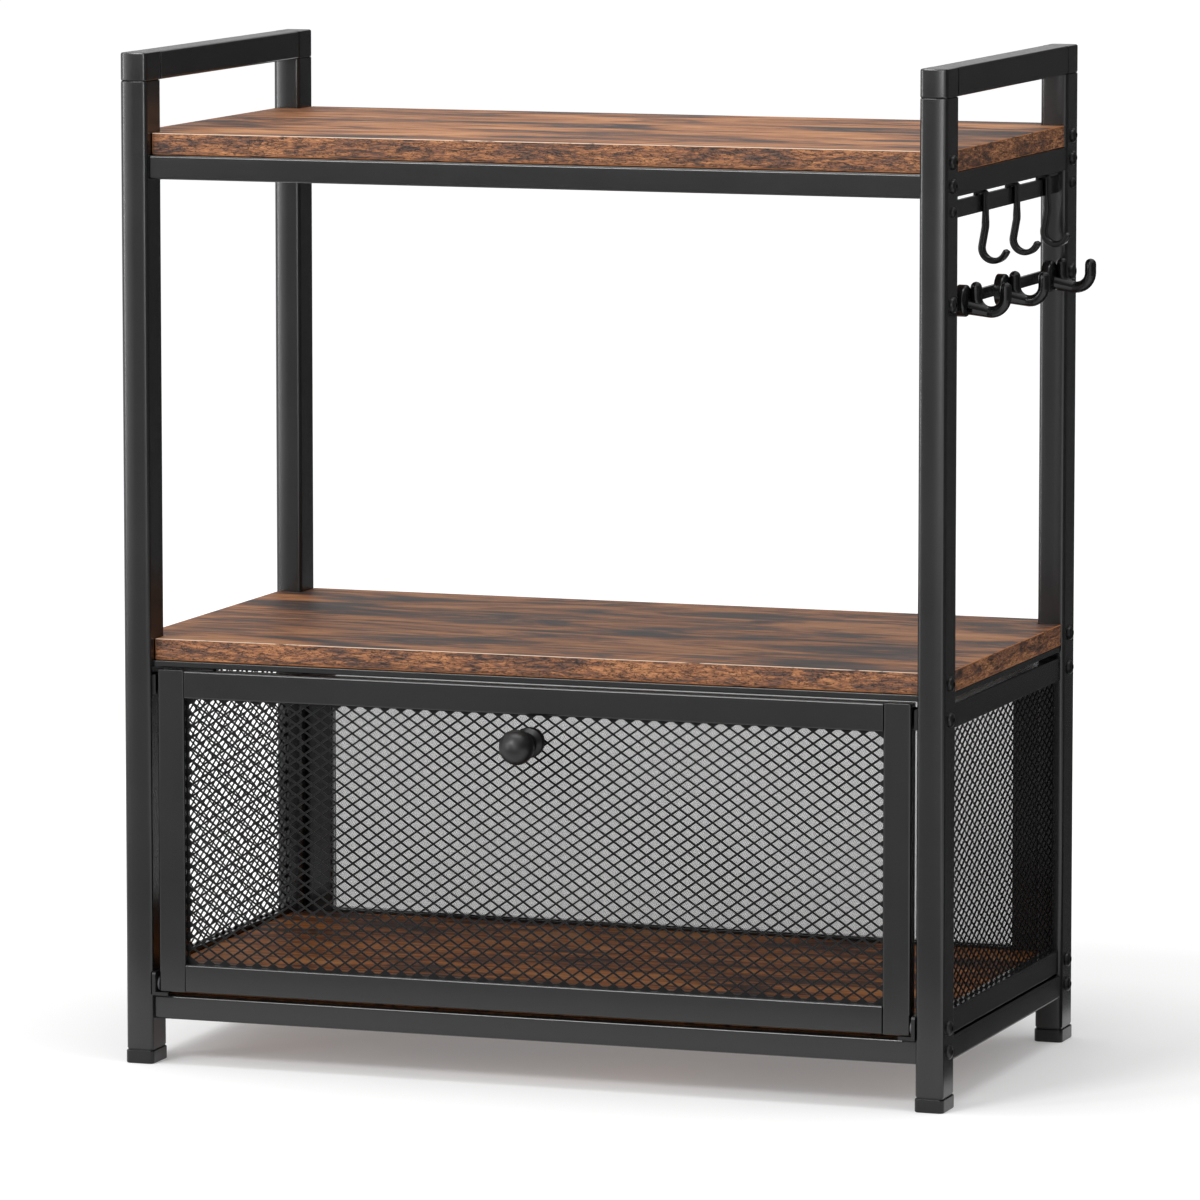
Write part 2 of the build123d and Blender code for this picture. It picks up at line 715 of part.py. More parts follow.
# Pivot bushes: a barrel in the stile with a flange against its outer face
with BuildPart() as hinge_bushes:
    for side in (-1, 1):
        face = Plane(origin=(side * door_half, pivot_y, pivot_z), x_dir=(0, 1, 0), z_dir=(side, 0, 0))
        with BuildSketch(face):
            Circle(bush_flange_diameter / 2)
        extrude(amount=bush_flange)
        with BuildSketch(face):
            Circle(bush_diameter / 2)
        extrude(amount=-bush_length)
        with BuildSketch(face.offset(bush_flange)):
            Circle(pin_diameter / 2 + pin_clearance)
        extrude(amount=-bush_flange - bush_length, mode=Mode.SUBTRACT)
save(hinge_bushes.part, "hinge_bushes")

# Hinge brackets: a plate on the leg, a pivot pin, and a lip that stops the open door
stop_top = door_base - stop_clearance
bracket_low = bottom_rail_top + seat_clearance
bracket_high = pivot_z + leg_depth / 2 - pivot_setback
bracket_back = -inner_y - seat_clearance
with BuildPart() as hinge_brackets:
    for side in (-1, 1):
        face = Plane(origin=(side * inner_x, 0, 0), x_dir=(0, 1, 0), z_dir=(side, 0, 0))
        low, high = sorted((side * bracket_low, side * bracket_high))
        with BuildSketch(face):
            with Locations(((-half_depth + bracket_back) / 2, (low + high) / 2)):
                RectangleRounded(bracket_back + half_depth, high - low, bracket_corner)
            with Locations((-leg_y, side * pivot_z)):
                Circle(bolt_diameter / 2 + pilot_clearance, mode=Mode.SUBTRACT)
        extrude(amount=-bracket_thickness)
        with BuildSketch(face.offset(-bracket_thickness)):
            with Locations((pivot_y, side * pivot_z)):
                Circle(pin_diameter / 2)
        extrude(amount=-(door_side_gap - bracket_thickness) - bush_length)
        lip_front = -half_depth
        lip_back = door_front - door_swing_clearance
        lip_low = stop_top - stop_thickness
        with BuildSketch(face):
            with Locations(((lip_front + lip_back) / 2, side * (lip_low + stop_top) / 2)):
                Rectangle(lip_back - lip_front, stop_thickness)
        extrude(amount=-stop_reach)
save(hinge_brackets.part, "hinge_brackets")

# Catch brackets: a plate on the leg with a tab behind the stile, which carries a magnet
magnet_front = door_rear + magnet_clearance
tab_front = -leg_y + bolt_diameter
with BuildPart() as catch_brackets:
    for side in (-1, 1):
        face = Plane(origin=(side * inner_x, 0, 0), x_dir=(0, 1, 0), z_dir=(side, 0, 0))
        plate_front = door_front + door_recess / 2
        plate_back = tab_front + catch_tab_thickness
        with BuildSketch(face):
            with Locations(((plate_front + plate_back) / 2, side * upper_panel_bolt)):
                Rectangle(plate_back - plate_front, catch_height)
            with Locations((-leg_y, side * upper_panel_bolt)):
                Circle(bolt_diameter / 2 + pilot_clearance, mode=Mode.SUBTRACT)
        extrude(amount=-bracket_thickness)
        with BuildSketch(face):
            with Locations((tab_front + catch_tab_thickness / 2, side * upper_panel_bolt)):
                Rectangle(catch_tab_thickness, catch_height)
        extrude(amount=-catch_tab_reach)
save(catch_brackets.part, "catch_brackets")
with BuildPart() as catch_magnets:
    for side in (-1, 1):
        magnet_x = side * (inner_x - catch_tab_reach + magnet_width / 2 + 1)
        with BuildSketch(Plane(origin=(magnet_x, tab_front, upper_panel_bolt), z_dir=(0, -1, 0))):
            RectangleRounded(magnet_width, magnet_height, 2.0)
        extrude(amount=tab_front - magnet_front)
save(catch_magnets.part, "catch_magnets")

# Fasteners through the legs
frame_bolt = domed_bolt(bolt_diameter, leg_width + bolt_grip)
bracket_bolt = domed_bolt(bolt_diameter, leg_width + bracket_thickness)
board_screw = domed_bolt(board_screw_diameter, leg_width + board_screw_grip - 4, 3.0)
frame_places = []
bracket_places = []
board_places = []
for side in (-1, 1):
    for end in (-1, 1):
        frame_places += x_bolt_places(side, rail_bolt_heights, end)
        board_places += x_bolt_places(side, board_screw_heights, end)
    bracket_places += x_bolt_places(side, door_bolt_heights, -1)
    frame_places += x_bolt_places(side, panel_bolt_heights, 1)
save(group(frame_bolt, frame_places), "frame_bolts")
save(group(bracket_bolt, bracket_places), "bracket_bolts")
save(group(board_screw, board_places), "board_screws")

# Screws that hold the strips
strip_screw = small_screw(strip_height + strip_screw_bite - 1, countersunk=True)
strip_places = [Location((x, y, strip_base), (180, 0, 0)) for x, y in strip_screw_spots]
save(group(strip_screw, strip_places), "strip_screws")

# Hook bars: flat bars that pass through slots into the right legs, each with a screw at either end
for bar_name, middle in hook_bar_middles.items():
    bar_face = Plane(origin=(hook_bar_x, 0, middle), x_dir=(0, 1, 0), z_dir=(1, 0, 0))
    with BuildPart() as hook_bar:
        with BuildSketch(bar_face):
            Rectangle(2 * (inner_y + hook_bar_reach), hook_bar_heights[bar_name])
        extrude(amount=-hook_bar_thickness)
        chamfer(hook_bar.edges().filter_by(Axis.Y), 0.4)
        with BuildSketch(bar_face):
            with Locations((-leg_y, 0), (leg_y, 0)):
                Circle(small_screw_diameter / 2 + pilot_clearance)
            if bar_name == "lower":
                with Locations(*[(y - cradle_screw_offset, 0) for y in cradle_places.values()]):
                    Circle(small_screw_diameter / 2 + pilot_clearance)
        extrude(amount=-hook_bar_thickness, mode=Mode.SUBTRACT)
    save(hook_bar.part, f"hook_bar_{bar_name}")
bar_screw_bite = hook_bar_inset + hook_bar_thickness + 1
upper_bar_screw = small_screw(bar_screw_bite, countersunk=False)
lower_bar_screw = small_screw(bar_screw_bite, False, lower_cap_diameter, lower_cap_height)
upper_seats, lower_seats = [
    [Location((half_width, end * leg_y, z), (0, 90, 0)) for end in (-1, 1)]
    for z in hook_bar_middles.values()
]
with BuildPart() as hook_bar_screws:
    add(group(upper_bar_screw, upper_seats))
    add(group(lower_bar_screw, lower_seats))
save(hook_bar_screws.part, "hook_bar_screws")

# J hooks: a saddle over the bar, a shank down its outer face and a bend that opens outwards
j_back_x = hook_bar_x - hook_bar_thickness - j_clearance - j_strap / 2
j_front_x = hook_bar_x + j_clearance + j_strap / 2
j_top_z = upper_bar_top + j_clearance + j_strap / 2
j_swell_top = upper_bar_top - upper_bar_height - j_clearance
j_swell_base = j_swell_top - j_swell
j_lean_start = j_swell_base - j_straight
j_lean_sine = sin(radians(j_lean))
j_lean_cosine = cos(radians(j_lean))
j_bend_z = j_top_z - j_drop
j_bend_start = j_bend_z + j_radius * j_lean_sine
j_bend_x = j_front_x - (j_lean_start - j_bend_start) * j_lean_sine / j_lean_cosine
j_centre = (j_bend_x + j_radius * j_lean_cosine, j_bend_z)
for hook_name, y in j_places.items():
    hook_plane = Plane(origin=(0, y, 0), x_dir=(1, 0, 0), z_dir=(0, -1, 0))
    with BuildPart() as j_hook:
        with BuildLine(hook_plane) as saddle_line:
            FilletPolyline(
                (j_back_x, j_top_z - j_back_leg),
                (j_back_x, j_top_z),
                (j_front_x, j_top_z),
                (j_front_x, j_swell_top),
                radius=j_saddle_radius,
            )
        with BuildSketch(Plane(origin=(j_back_x, y, j_top_z - j_back_leg), z_dir=(0, 0, 1))):
            RectangleRounded(j_strap, j_strap_width, j_strap_edge)
        sweep(path=saddle_line.line)
        with BuildSketch(Plane(origin=(j_front_x, y, j_swell_top), z_dir=(0, 0, -1))):
            RectangleRounded(j_strap, j_strap_width, j_strap_edge)
        with BuildSketch(Plane(origin=(j_front_x, y, j_swell_base), z_dir=(0, 0, -1))):
            RectangleRounded(j_thickness, j_width, j_edge)
        loft()
        with BuildLine(hook_plane) as bend_line:
            FilletPolyline(
                (j_front_x, j_swell_base),
                (j_front_x, j_lean_start),
                (j_bend_x, j_bend_start),
                radius=j_lean_radius,
            )
            bend = CenterArc(j_centre, j_radius, 180 - j_lean, j_turn + j_lean)
            Line(bend @ 1, bend @ 1 + (bend % 1) * j_tip)
        with BuildSketch(Plane(origin=(j_front_x, y, j_swell_base), z_dir=(0, 0, -1))):
            RectangleRounded(j_thickness, j_width, j_edge)
        sweep(path=bend_line.line)
        tip_face = j_hook.faces().filter_by(GeomType.PLANE).sort_by(Axis.X)[-1]
        fillet(tip_face.edges(), j_tip_round)
    save(j_hook.part, f"j_hook_{hook_name}")

# Cradle hooks: a rounded base with a short arm that forks into two upright prongs
fork_inner_x = hook_bar_x + cradle_base_thickness + cradle_rod / 2 - 1.0
fork_middle_x = fork_inner_x + cradle_spacing / 2
base_low = lower_bar_top - lower_bar_height - cradle_foot_drop
fork_z = base_low + cradle_rod / 2 + cradle_spacing / 2 - cradle_fork_drop
lower_bar_middle = hook_bar_middles["lower"]
cradle_screw_places = []
for hook_name, base_y in cradle_places.items():
    fork_y = base_y + cradle_fork_offset
    screw_y = base_y - cradle_screw_offset
    arm_y = base_y + cradle_arm_offset
    base_plane = Plane(
        origin=(hook_bar_x, base_y, base_low + cradle_base_height / 2), x_dir=(0, 1, 0), z_dir=(1, 0, 0)
    )
    fork_plane = Plane(origin=(fork_middle_x, fork_y, fork_z), x_dir=(1, 0, 0), z_dir=(0, -1, 0))
    with BuildPart() as cradle:
        with BuildSketch(base_plane):
            RectangleRounded(cradle_base_width, cradle_base_height, cradle_base_round)
        extrude(amount=cradle_base_thickness)
        fillet(cradle.faces().sort_by(Axis.X)[-1].edges(), 2.0)
        with BuildLine(fork_plane) as fork_line:
            half = cradle_spacing / 2
            Line((-half, cradle_prong), (-half, 0))
            CenterArc((0, 0), half, 180, 180)
            Line((half, 0), (half, cradle_prong))
        with BuildSketch(Plane(origin=fork_plane.from_local_coords((-half, cradle_prong, 0)), z_dir=(0, 0, -1))):
            Circle(cradle_rod / 2)
        sweep(path=fork_line.line)
        for prong_x in (-half, half):
            with Locations(fork_plane.from_local_coords((prong_x, cradle_prong, 0))):
                Sphere(cradle_rod / 2)
        arm_start = Plane(origin=(hook_bar_x + 2, arm_y, base_low + cradle_arm_rise), z_dir=(1, 0, 0))
        arm_end = Plane(origin=(fork_middle_x - 2, fork_y, fork_z - half), z_dir=(1, 0, 0))
        with BuildSketch(arm_start):
            Circle(cradle_arm_root)
        with BuildSketch(arm_end):
            Circle(cradle_rod / 2 - 0.2)
        loft()
        with BuildSketch(Plane(origin=(hook_bar_x, screw_y, lower_bar_middle), z_dir=(1, 0, 0))):
            Circle(small_screw_diameter / 2 + pilot_clearance)
        extrude(amount=cradle_base_thickness, mode=Mode.SUBTRACT)
        sink = Plane(
            origin=(hook_bar_x + cradle_base_thickness - cradle_screw_sink, screw_y, lower_bar_middle),
            z_dir=(1, 0, 0),
        )
        with BuildSketch(sink):
            Circle(small_head_diameter / 2 + bolt_clearance)
        extrude(amount=cradle_screw_sink + 1, mode=Mode.SUBTRACT)
    save(cradle.part, f"cradle_hook_{hook_name}")
    cradle_screw_places.append(Location(sink.origin, (0, 90, 0)))
cradle_screw = small_screw(cradle_base_thickness - cradle_screw_sink + hook_bar_thickness, countersunk=False)
save(group(cradle_screw, cradle_screw_places), "cradle_screws")
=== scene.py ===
"""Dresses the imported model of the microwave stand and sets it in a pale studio.

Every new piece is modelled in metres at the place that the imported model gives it. The stand's front
faces -Y, its hooks are on the +X side, and the floor is at z = 0.
"""

import logging
import math
from dataclasses import dataclass, field
from enum import Enum
from functools import cache
from typing import Any, Iterable, Sequence

import bmesh
import bpy
from mathutils import Matrix, Vector


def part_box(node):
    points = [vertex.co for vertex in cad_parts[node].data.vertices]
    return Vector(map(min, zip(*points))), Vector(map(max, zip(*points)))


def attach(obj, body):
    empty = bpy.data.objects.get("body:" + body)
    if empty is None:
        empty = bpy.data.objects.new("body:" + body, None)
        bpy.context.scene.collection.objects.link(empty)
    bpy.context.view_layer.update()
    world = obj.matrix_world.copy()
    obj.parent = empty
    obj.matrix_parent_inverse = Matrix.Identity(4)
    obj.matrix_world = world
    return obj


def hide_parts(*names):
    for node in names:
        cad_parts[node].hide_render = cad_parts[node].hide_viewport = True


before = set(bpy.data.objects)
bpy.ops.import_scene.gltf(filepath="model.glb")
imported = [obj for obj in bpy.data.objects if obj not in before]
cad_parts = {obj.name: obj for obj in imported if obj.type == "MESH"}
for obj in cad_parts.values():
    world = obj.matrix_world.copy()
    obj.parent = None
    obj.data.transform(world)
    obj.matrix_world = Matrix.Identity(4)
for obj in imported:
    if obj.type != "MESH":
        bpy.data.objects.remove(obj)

log = logging.getLogger("microwave_stand")

MM = 0.001
MERGE_DISTANCE = 2e-6
SAME_PLACE = 1e-6
ON_PLANE = 1e-7
ALIGNED = 0.999
RIM_STEPS = 2
SECTION_STEPS = 4
NORMALS_WEIGHT = 80
UP = Vector((0.0, 0.0, 1.0))
BACK = Vector((0.0, 1.0, 0.0))
NET_CREASE = 25.0
HOOK_CREASE = 50.0

Triple = tuple[float, float, float]


class Slot(Enum):
    """The material slots of the record that new pieces use."""

    POWDER_COAT = "black_powder_coat"
    BOARD = "brown_board"
    PLASTIC = "black_plastic"
    HARDWARE = "black_hardware"
    RUBBER = "rubber"


class Body(Enum):
    """The bodies that pieces ride on."""

    STAND = "stand"
    DOOR = "door"
    HOOK_FRONT = "hook_front"
    HOOK_MIDDLE = "hook_middle"
    HOOK_REAR = "hook_rear"


class Way(Enum):
    """The three directions of the stand."""

    X = 0
    Y = 1
    Z = 2

    @property
    def vector(self) -> Vector:
        """The unit vector along this direction."""
        return Vector([float(index == self.value) for index in range(3)])


@dataclass(frozen=True)
class Box:
    """An upright box between two corners, in metres."""

    low: Vector
    high: Vector

    @property
    def size(self) -> Vector:
        """The box's three lengths."""
        return self.high - self.low

    @property
    def middle(self) -> Vector:
        """The box's centre."""
        return (self.high + self.low) / 2

    @staticmethod
    def of_node(node: str) -> "Box":
        """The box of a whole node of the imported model."""
        return Box(*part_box(node))


def solids_of(node: str) -> list[Box]:
    """Finds the boxes of a node's separate solids.

    Args:
        node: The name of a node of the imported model.

    Returns:
        One box for each solid, ordered by x, then y, then z.
    """
    mesh = bmesh.new()
    mesh.from_mesh(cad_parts[node].data)
    bmesh.ops.remove_doubles(mesh, verts=mesh.verts, dist=MERGE_DISTANCE)
    boxes = []
    waiting = set(mesh.verts)
    while waiting:
        found = [waiting.pop()]
        for vert in found:
            for edge in vert.link_edges:
                other = edge.other_vert(vert)
                if other in waiting:
                    waiting.discard(other)
                    found.append(other)
        corners = [vert.co for vert in found]
        low = Vector([min(corner[way] for corner in corners) for way in range(3)])
        high = Vector([max(corner[way] for corner in corners) for way in range(3)])
        boxes.append(Box(low, high))
    mesh.free()
    return sorted(boxes, key=lambda box: tuple(round(value, 4) for value in box.middle))


# Finishes


class Wiring:
    """Fills a node tree, each new node with its inputs linked or set."""

    def __init__(self, tree: bpy.types.NodeTree) -> None:
        """Starts with the given tree."""
        self.tree = tree

    def put(self, node: bpy.types.Node, inputs: dict[str | int, Any]) -> None:
        """Links sockets to a node's inputs, or sets the inputs to plain values.

        Args:
            node: The node.
            inputs: The sockets or plain values by the inputs' names or numbers.
        """
        for name, value in inputs.items():
            if isinstance(value, bpy.types.NodeSocket):
                self.tree.links.new(value, node.inputs[name])
            else:
                node.inputs[name].default_value = value

    def add(self, kind: str, inputs: dict[str | int, Any] | None = None, **options: Any) -> bpy.types.Node:
        """Adds a shader node.

        Args:
            kind: The type of node, without the words that all types start with.
            inputs: Sockets or plain values for its inputs.
            options: The node's own settings.

        Returns:
            The node.
        """
        node = self.tree.nodes.new(f"ShaderNode{kind}")
        for name, value in options.items():
            setattr(node, name, value)
        self.put(node, inputs or {})
        return node

    def math(self, operation: str, *values: Any) -> bpy.types.NodeSocket:
        """The result of an operation on sockets and plain values."""
        return self.add("Math", dict(enumerate(values)), operation=operation).outputs["Value"]

    def between(
        self, value: bpy.types.NodeSocket, low: float, high: float, to_low: float, to_high: float
    ) -> bpy.types.NodeSocket:
        """A value moved from one range to another and held inside it."""
        inputs = {"Value": value, "From Min": low, "From Max": high, "To Min": to_low, "To Max": to_high}
        return self.add("MapRange", inputs).outputs["Result"]


class Recipe(Wiring):
    """A material in the making, with short ways to add its patterns."""

    BLEND_INPUTS = (0, 6, 7)
    BLEND_OUTPUT = 2

    def __init__(self, name: str) -> None:
        """Starts a material whose patterns read Object coordinates.

        Args:
            name: The material's name.
        """
        self.material = bpy.data.materials.new(name)
        self.material.use_nodes = True
        super().__init__(self.material.node_tree)
        self.shader = self.tree.nodes["Principled BSDF"]
        self.place = self.add("TexCoord").outputs["Object"]

    def surface(self, **values: Any) -> None:
        """Puts values on the surface shader, named with _ for a space."""
        self.put(self.shader, {name.replace("_", " "): value for name, value in values.items()})

    def noise(
        self, clouds: float | Triple, detail: float, roughness: float, swirl: float = 0.0
    ) -> bpy.types.NodeSocket:
        """A cloudy value from 0 to 1.

        Args:
            clouds: How many clouds a metre, one number or one each for X, Y and Z.
            detail: How many finer layers.
            roughness: The strength of the finer layers.
            swirl: How far the clouds swirl.

        Returns:
            The socket of the value.
        """
        place, scale = self.place, clouds
        if isinstance(clouds, tuple):
            place = self.add("Mapping", {"Vector": self.place, "Scale": clouds}).outputs["Vector"]
            scale = 1.0
        inputs = {"Vector": place, "Scale": scale, "Detail": detail}
        inputs |= {"Roughness": roughness, "Distortion": swirl}
        return self.add("TexNoise", inputs).outputs["Fac"]

    def mean(self, first: Any, second: Any, share: float) -> bpy.types.NodeSocket:
        """Two values together, the second by a share and the first by the rest."""
        rest = self.math("MULTIPLY", first, 1.0 - share)
        return self.math("MULTIPLY_ADD", second, share, rest)

    def lines(self, value: bpy.types.NodeSocket, width: float, depth: float) -> bpy.types.NodeSocket:
        """Thin lines where a cloudy value crosses its middle.

        Args:
            value: The cloudy value.
            width: How far from the middle a line reaches.
            depth: The level on a line, from 0 to 1.

        Returns:
            The socket of a level that is 1 away from the lines.
        """
        off_middle = self.math("ABSOLUTE", self.math("SUBTRACT", value, 0.5))
        return self.between(off_middle, 0.0, width, depth, 1.0)

    def shades(
        self, value: bpy.types.NodeSocket, places: Sequence[float], colours: Sequence[str]
    ) -> bpy.types.NodeSocket:
        """Colours along a value.

        Args:
            value: The socket to colour.
            places: Places from 0 to 1.
            colours: Their colours, as written on a screen.

        Returns:
            The socket of the colour.
        """
        node = self.add("ValToRGB", {"Fac": value})
        elements = node.color_ramp.elements
        while len(elements) < len(places):
            elements.new(0.5)
        for element, place, colour in zip(elements, places, colours):
            element.position = place
            element.color = paint(colour)
        return node.outputs["Color"]

    def blend(self, share: Any, first: Any, second: Any, kind: str = "MIX") -> bpy.types.NodeSocket:
        """Two colours laid over each other by a share."""
        inputs = dict(zip(self.BLEND_INPUTS, (share, first, second)))
        return self.add("Mix", inputs, data_type="RGBA", blend_type=kind).outputs[self.BLEND_OUTPUT]

    def relief(self, height: bpy.types.NodeSocket, strength: float, depth: float) -> None:
        """Gives the surface a fine relief, its depth in metres."""
        bump = self.add("Bump", {"Height": height, "Strength": strength, "Distance": depth})
        self.surface(Normal=bump.outputs["Normal"])


def paint(colour: str) -> tuple[float, float, float, float]:
    """Works out the linear colour of a screen colour.

    Args:
        colour: Six hex digits.

    Returns:
        Red, green, blue and full opacity.
    """
    parts = [int(colour[index : index + 2], 16) / 255 for index in (0, 2, 4)]
    red, green, blue = [
        part / 12.92 if part <= 0.04045 else ((part + 0.055) / 1.055) ** 2.4 for part in parts
    ]
    return red, green, blue, 1.0


@dataclass(frozen=True)
class Finish:
    """A finish of the stand."""

    name: str

    @cache
    def material(self) -> bpy.types.Material:
        """Makes the material at the first call.

        Returns:
            The finished material.
        """
        recipe = Recipe(self.name)
        self.mix(recipe)
        return recipe.material

    def mix(self, recipe: Recipe) -> None:
        """Gives the material its surface."""
        raise NotImplementedError


@dataclass(frozen=True)
class Coating(Finish):
    """A dark coat on steel or on moulded plastic: fine grain, faint clouds and a soft gloss."""

    dark: str
    light: str
    smooth: float
    rough: float
    grain: float
    grain_depth: float
    specular: float = 0.5
    metallic: float = 0.0

    def mix(self, recipe: Recipe) -> None:
        """Mixes the two greys by clouds and grain, and lets both vary the gloss.

        Args:
            recipe: The material to fill.
        """
        clouds = recipe.noise(14.0, 4.0, 0.6)
        grain = recipe.noise(self.grain, 2.0, 0.55)
        shade = recipe.mean(clouds, grain, 0.2)
        recipe.surface(
            Base_Color=recipe.shades(shade, (0.3, 0.7), (self.dark, self.light)),
            Roughness=recipe.between(shade, 0.3, 0.7, self.smooth, self.rough),
            Specular_IOR_Level=self.specular,
            Metallic=self.metallic,
        )
        recipe.relief(grain, 0.35, self.grain_depth)


@dataclass(frozen=True)
class BoardFace(Finish):
    """The broad faces of a board: long brown streaks with dark smoky patches."""

    name: str = "board_face"
    places: tuple[float, ...] = (0.4, 0.455, 0.49, 0.535, 0.62)
    colours: tuple[str, ...] = ("2a2321", "463630", "774c33", "9e6942", "ba855c")

    def mix(self, recipe: Recipe) -> None:
        """Colours patches and streaks together, with fine dark pores over them.

        Args:
            recipe: The material to fill.
        """
        patches = recipe.noise((7.0, 24.0, 24.0), 6.0, 0.64, 0.9)
        streaks = recipe.noise((15.0, 170.0, 170.0), 5.0, 0.64, 0.4)
        pores = recipe.noise((42.0, 800.0, 800.0), 3.0, 0.6, 0.6)
        wood = recipe.shades(recipe.mean(patches, streaks, 0.4), self.places, self.colours)
        dark = recipe.between(pores, 0.36, 0.46, 0.5, 1.0)
        recipe.surface(
            Base_Color=recipe.blend(1.0, wood, dark, "MULTIPLY"),
            Roughness=recipe.between(streaks, 0.3, 0.7, 0.46, 0.6),
            Specular_IOR_Level=0.2,
        )
        recipe.relief(pores, 0.25, 0.12 * MM)


@dataclass(frozen=True)
class BoardEdge(Finish):
    """The narrow faces of a board: orange and smoky burl with fine black scratches."""

    name: str = "board_edge"
    places: tuple[float, ...] = (0.36, 0.44, 0.49, 0.535, 0.61)
    colours: tuple[str, ...] = ("332826", "5a4339", "80543c", "a06a45", "bd8459")

    def mix(self, recipe: Recipe) -> None:
        """Colours patches and grain together, with two sizes of curled scratches over them.

        Args:
            recipe: The material to fill.
        """
        patches = recipe.noise((20.0, 20.0, 90.0), 6.0, 0.68, 0.9)
        grain = recipe.noise((80.0, 80.0, 560.0), 5.0, 0.68, 0.8)
        wood = recipe.shades(recipe.mean(patches, grain, 0.5), self.places, self.colours)
        long_curls = recipe.noise((60.0, 60.0, 300.0), 3.0, 0.6, 1.4)
        short_curls = recipe.noise((130.0, 130.0, 520.0), 2.0, 0.6, 1.0)
        dark = recipe.math(
            "MULTIPLY", recipe.lines(long_curls, 0.04, 0.1), recipe.lines(short_curls, 0.04, 0.25)
        )
        recipe.surface(
            Base_Color=recipe.blend(1.0, wood, dark, "MULTIPLY"),
            Roughness=recipe.between(grain, 0.3, 0.7, 0.46, 0.62),
            Specular_IOR_Level=0.3,
        )
        recipe.relief(dark, 0.3, 0.1 * MM)


@dataclass(frozen=True)
class WornEdgeAndPaintedLight(Finish):
    """The rims of a board: a pale painted highlight on the upper front rim, broken by wear, orange
    elsewhere, and a dark painted shade underneath.
    """

    name: str = "board_edge_painted_light"
    # pale is a painted highlight along the upper front rim.
    pale: str = "d2bda8"
    orange: str = "b2703e"
    brown: str = "5a3a26"
    # shade is painted shade on the rims that face down.
    shade: str = "15100e"

    def mix(self, recipe: Recipe) -> None:
        """Paints the highlight and the shade by the way that the surface faces, with brown gaps in the
        highlight and the orange where the wear noise is low.

        Args:
            recipe: The material to fill.
        """
        geometry = recipe.add("NewGeometry").outputs
        normal = recipe.add("SeparateXYZ", {"Vector": geometry["Normal"]}).outputs
        # upper and front pick the upper front rim, which gets the painted highlight.
        upper = recipe.between(normal["Z"], 0.1, 0.3, 0.0, 1.0)
        front = recipe.between(normal["Y"], -0.25, -0.1, 1.0, 0.0)
        painted_shade_below = recipe.between(normal["Z"], -0.75, -0.6, 1.0, 0.0)
        wear_and_highlight_gaps = recipe.noise((70.0, 70.0, 70.0), 4.0, 0.6)
        pale = recipe.shades(wear_and_highlight_gaps, (0.32, 0.42), (self.brown, self.pale))
        orange = recipe.shades(wear_and_highlight_gaps, (0.36, 0.47), (self.brown, self.orange))
        colour = recipe.blend(recipe.math("MULTIPLY", upper, front), orange, pale)
        recipe.surface(
            # Painted shade on the rims that face down, over the highlight and the orange.
            Base_Color=recipe.blend(painted_shade_below, colour, paint(self.shade)),
            Roughness=recipe.between(wear_and_highlight_gaps, 0.3, 0.7, 0.4, 0.6),
            Specular_IOR_Level=0.3,
        )
        recipe.relief(wear_and_highlight_gaps, 0.2, 0.1 * MM)


POWDER_COAT = Coating("powder_coat", "0e0e0f", "151516", 0.18, 0.23, 520.0, 0.01 * MM, 0.6)
MOULDED = Coating("moulded_plastic", "0b0b0c", "101011", 0.2, 0.26, 300.0, 0.01 * MM, 0.4)
HOOK_GLOSS = Coating("hook_gloss", "0a0a0b", "0f0f10", 0.16, 0.22, 300.0, 0.01 * MM, 0.4)
KNOB_SATIN = Coating("knob_satin", "0b0b0c", "111112", 0.36, 0.42, 300.0, 0.01 * MM)
SCREW_BLACK = Coating("screw_black", "101011", "181819", 0.26, 0.36, 700.0, 0.02 * MM, 0.4)
NET_STEEL = Coating("net_steel", "060607", "0b0b0c", 0.28, 0.38, 420.0, 0.03 * MM, 0.22)
MAGNET_GREY = Coating("magnet_grey", "6e6e70", "8a8a8c", 0.32, 0.5, 500.0, 0.04 * MM, metallic=0.9)
NYLON_GREY = Coating("nylon_grey", "4b4b4d", "5a5a5c", 0.42, 0.55, 260.0, 0.03 * MM)
RUBBER_BLACK = Coating("rubber_black", "1a1a1b", "232323", 0.6, 0.78, 380.0, 0.1 * MM, 0.35)
# The cabinet floor gets brighter, more saturated colours than the other boards: painted light that makes up
# for the dimmer light inside the cabinet.
CABINET_FLOOR_PAINTED_LIGHT = BoardFace("cabinet_floor_painted_light", colours=("30241d", "54392a", "96592f", "c97d3f", "e0a066"))


# Modelling


def edges_of(verts: Iterable[bmesh.types.BMVert]) -> list[bmesh.types.BMEdge]:
    """The edges that touch the given vertices, each once."""
    return list({edge for vert in verts for edge in vert.link_edges})


def is_along(edge: bmesh.types.BMEdge, direction: Vector) -> bool:
    """Whether an edge runs along a direction."""
    run = edge.verts[1].co - edge.verts[0].co
    return run.length > 0 and abs(run.normalized().dot(direction)) > ALIGNED


def at_level(edge: bmesh.types.BMEdge, way: Way, level: float) -> bool:
    """Whether both ends of an edge lie at a level along a direction."""
    return all(abs(vert.co[way.value] - level) < SAME_PLACE for vert in edge.verts)


def facing(outward: Vector, place: Vector) -> Matrix:
    """The matrix that turns +Z to a direction and moves the origin to a place."""
    turn = UP.rotation_difference(outward)
    return Matrix.Translation(place) @ turn.to_matrix().to_4x4()


def everything(mesh: bmesh.types.BMesh) -> list[Any]:
    """All vertices, edges and faces of a mesh."""
    return list(mesh.verts) + list(mesh.edges) + list(mesh.faces)


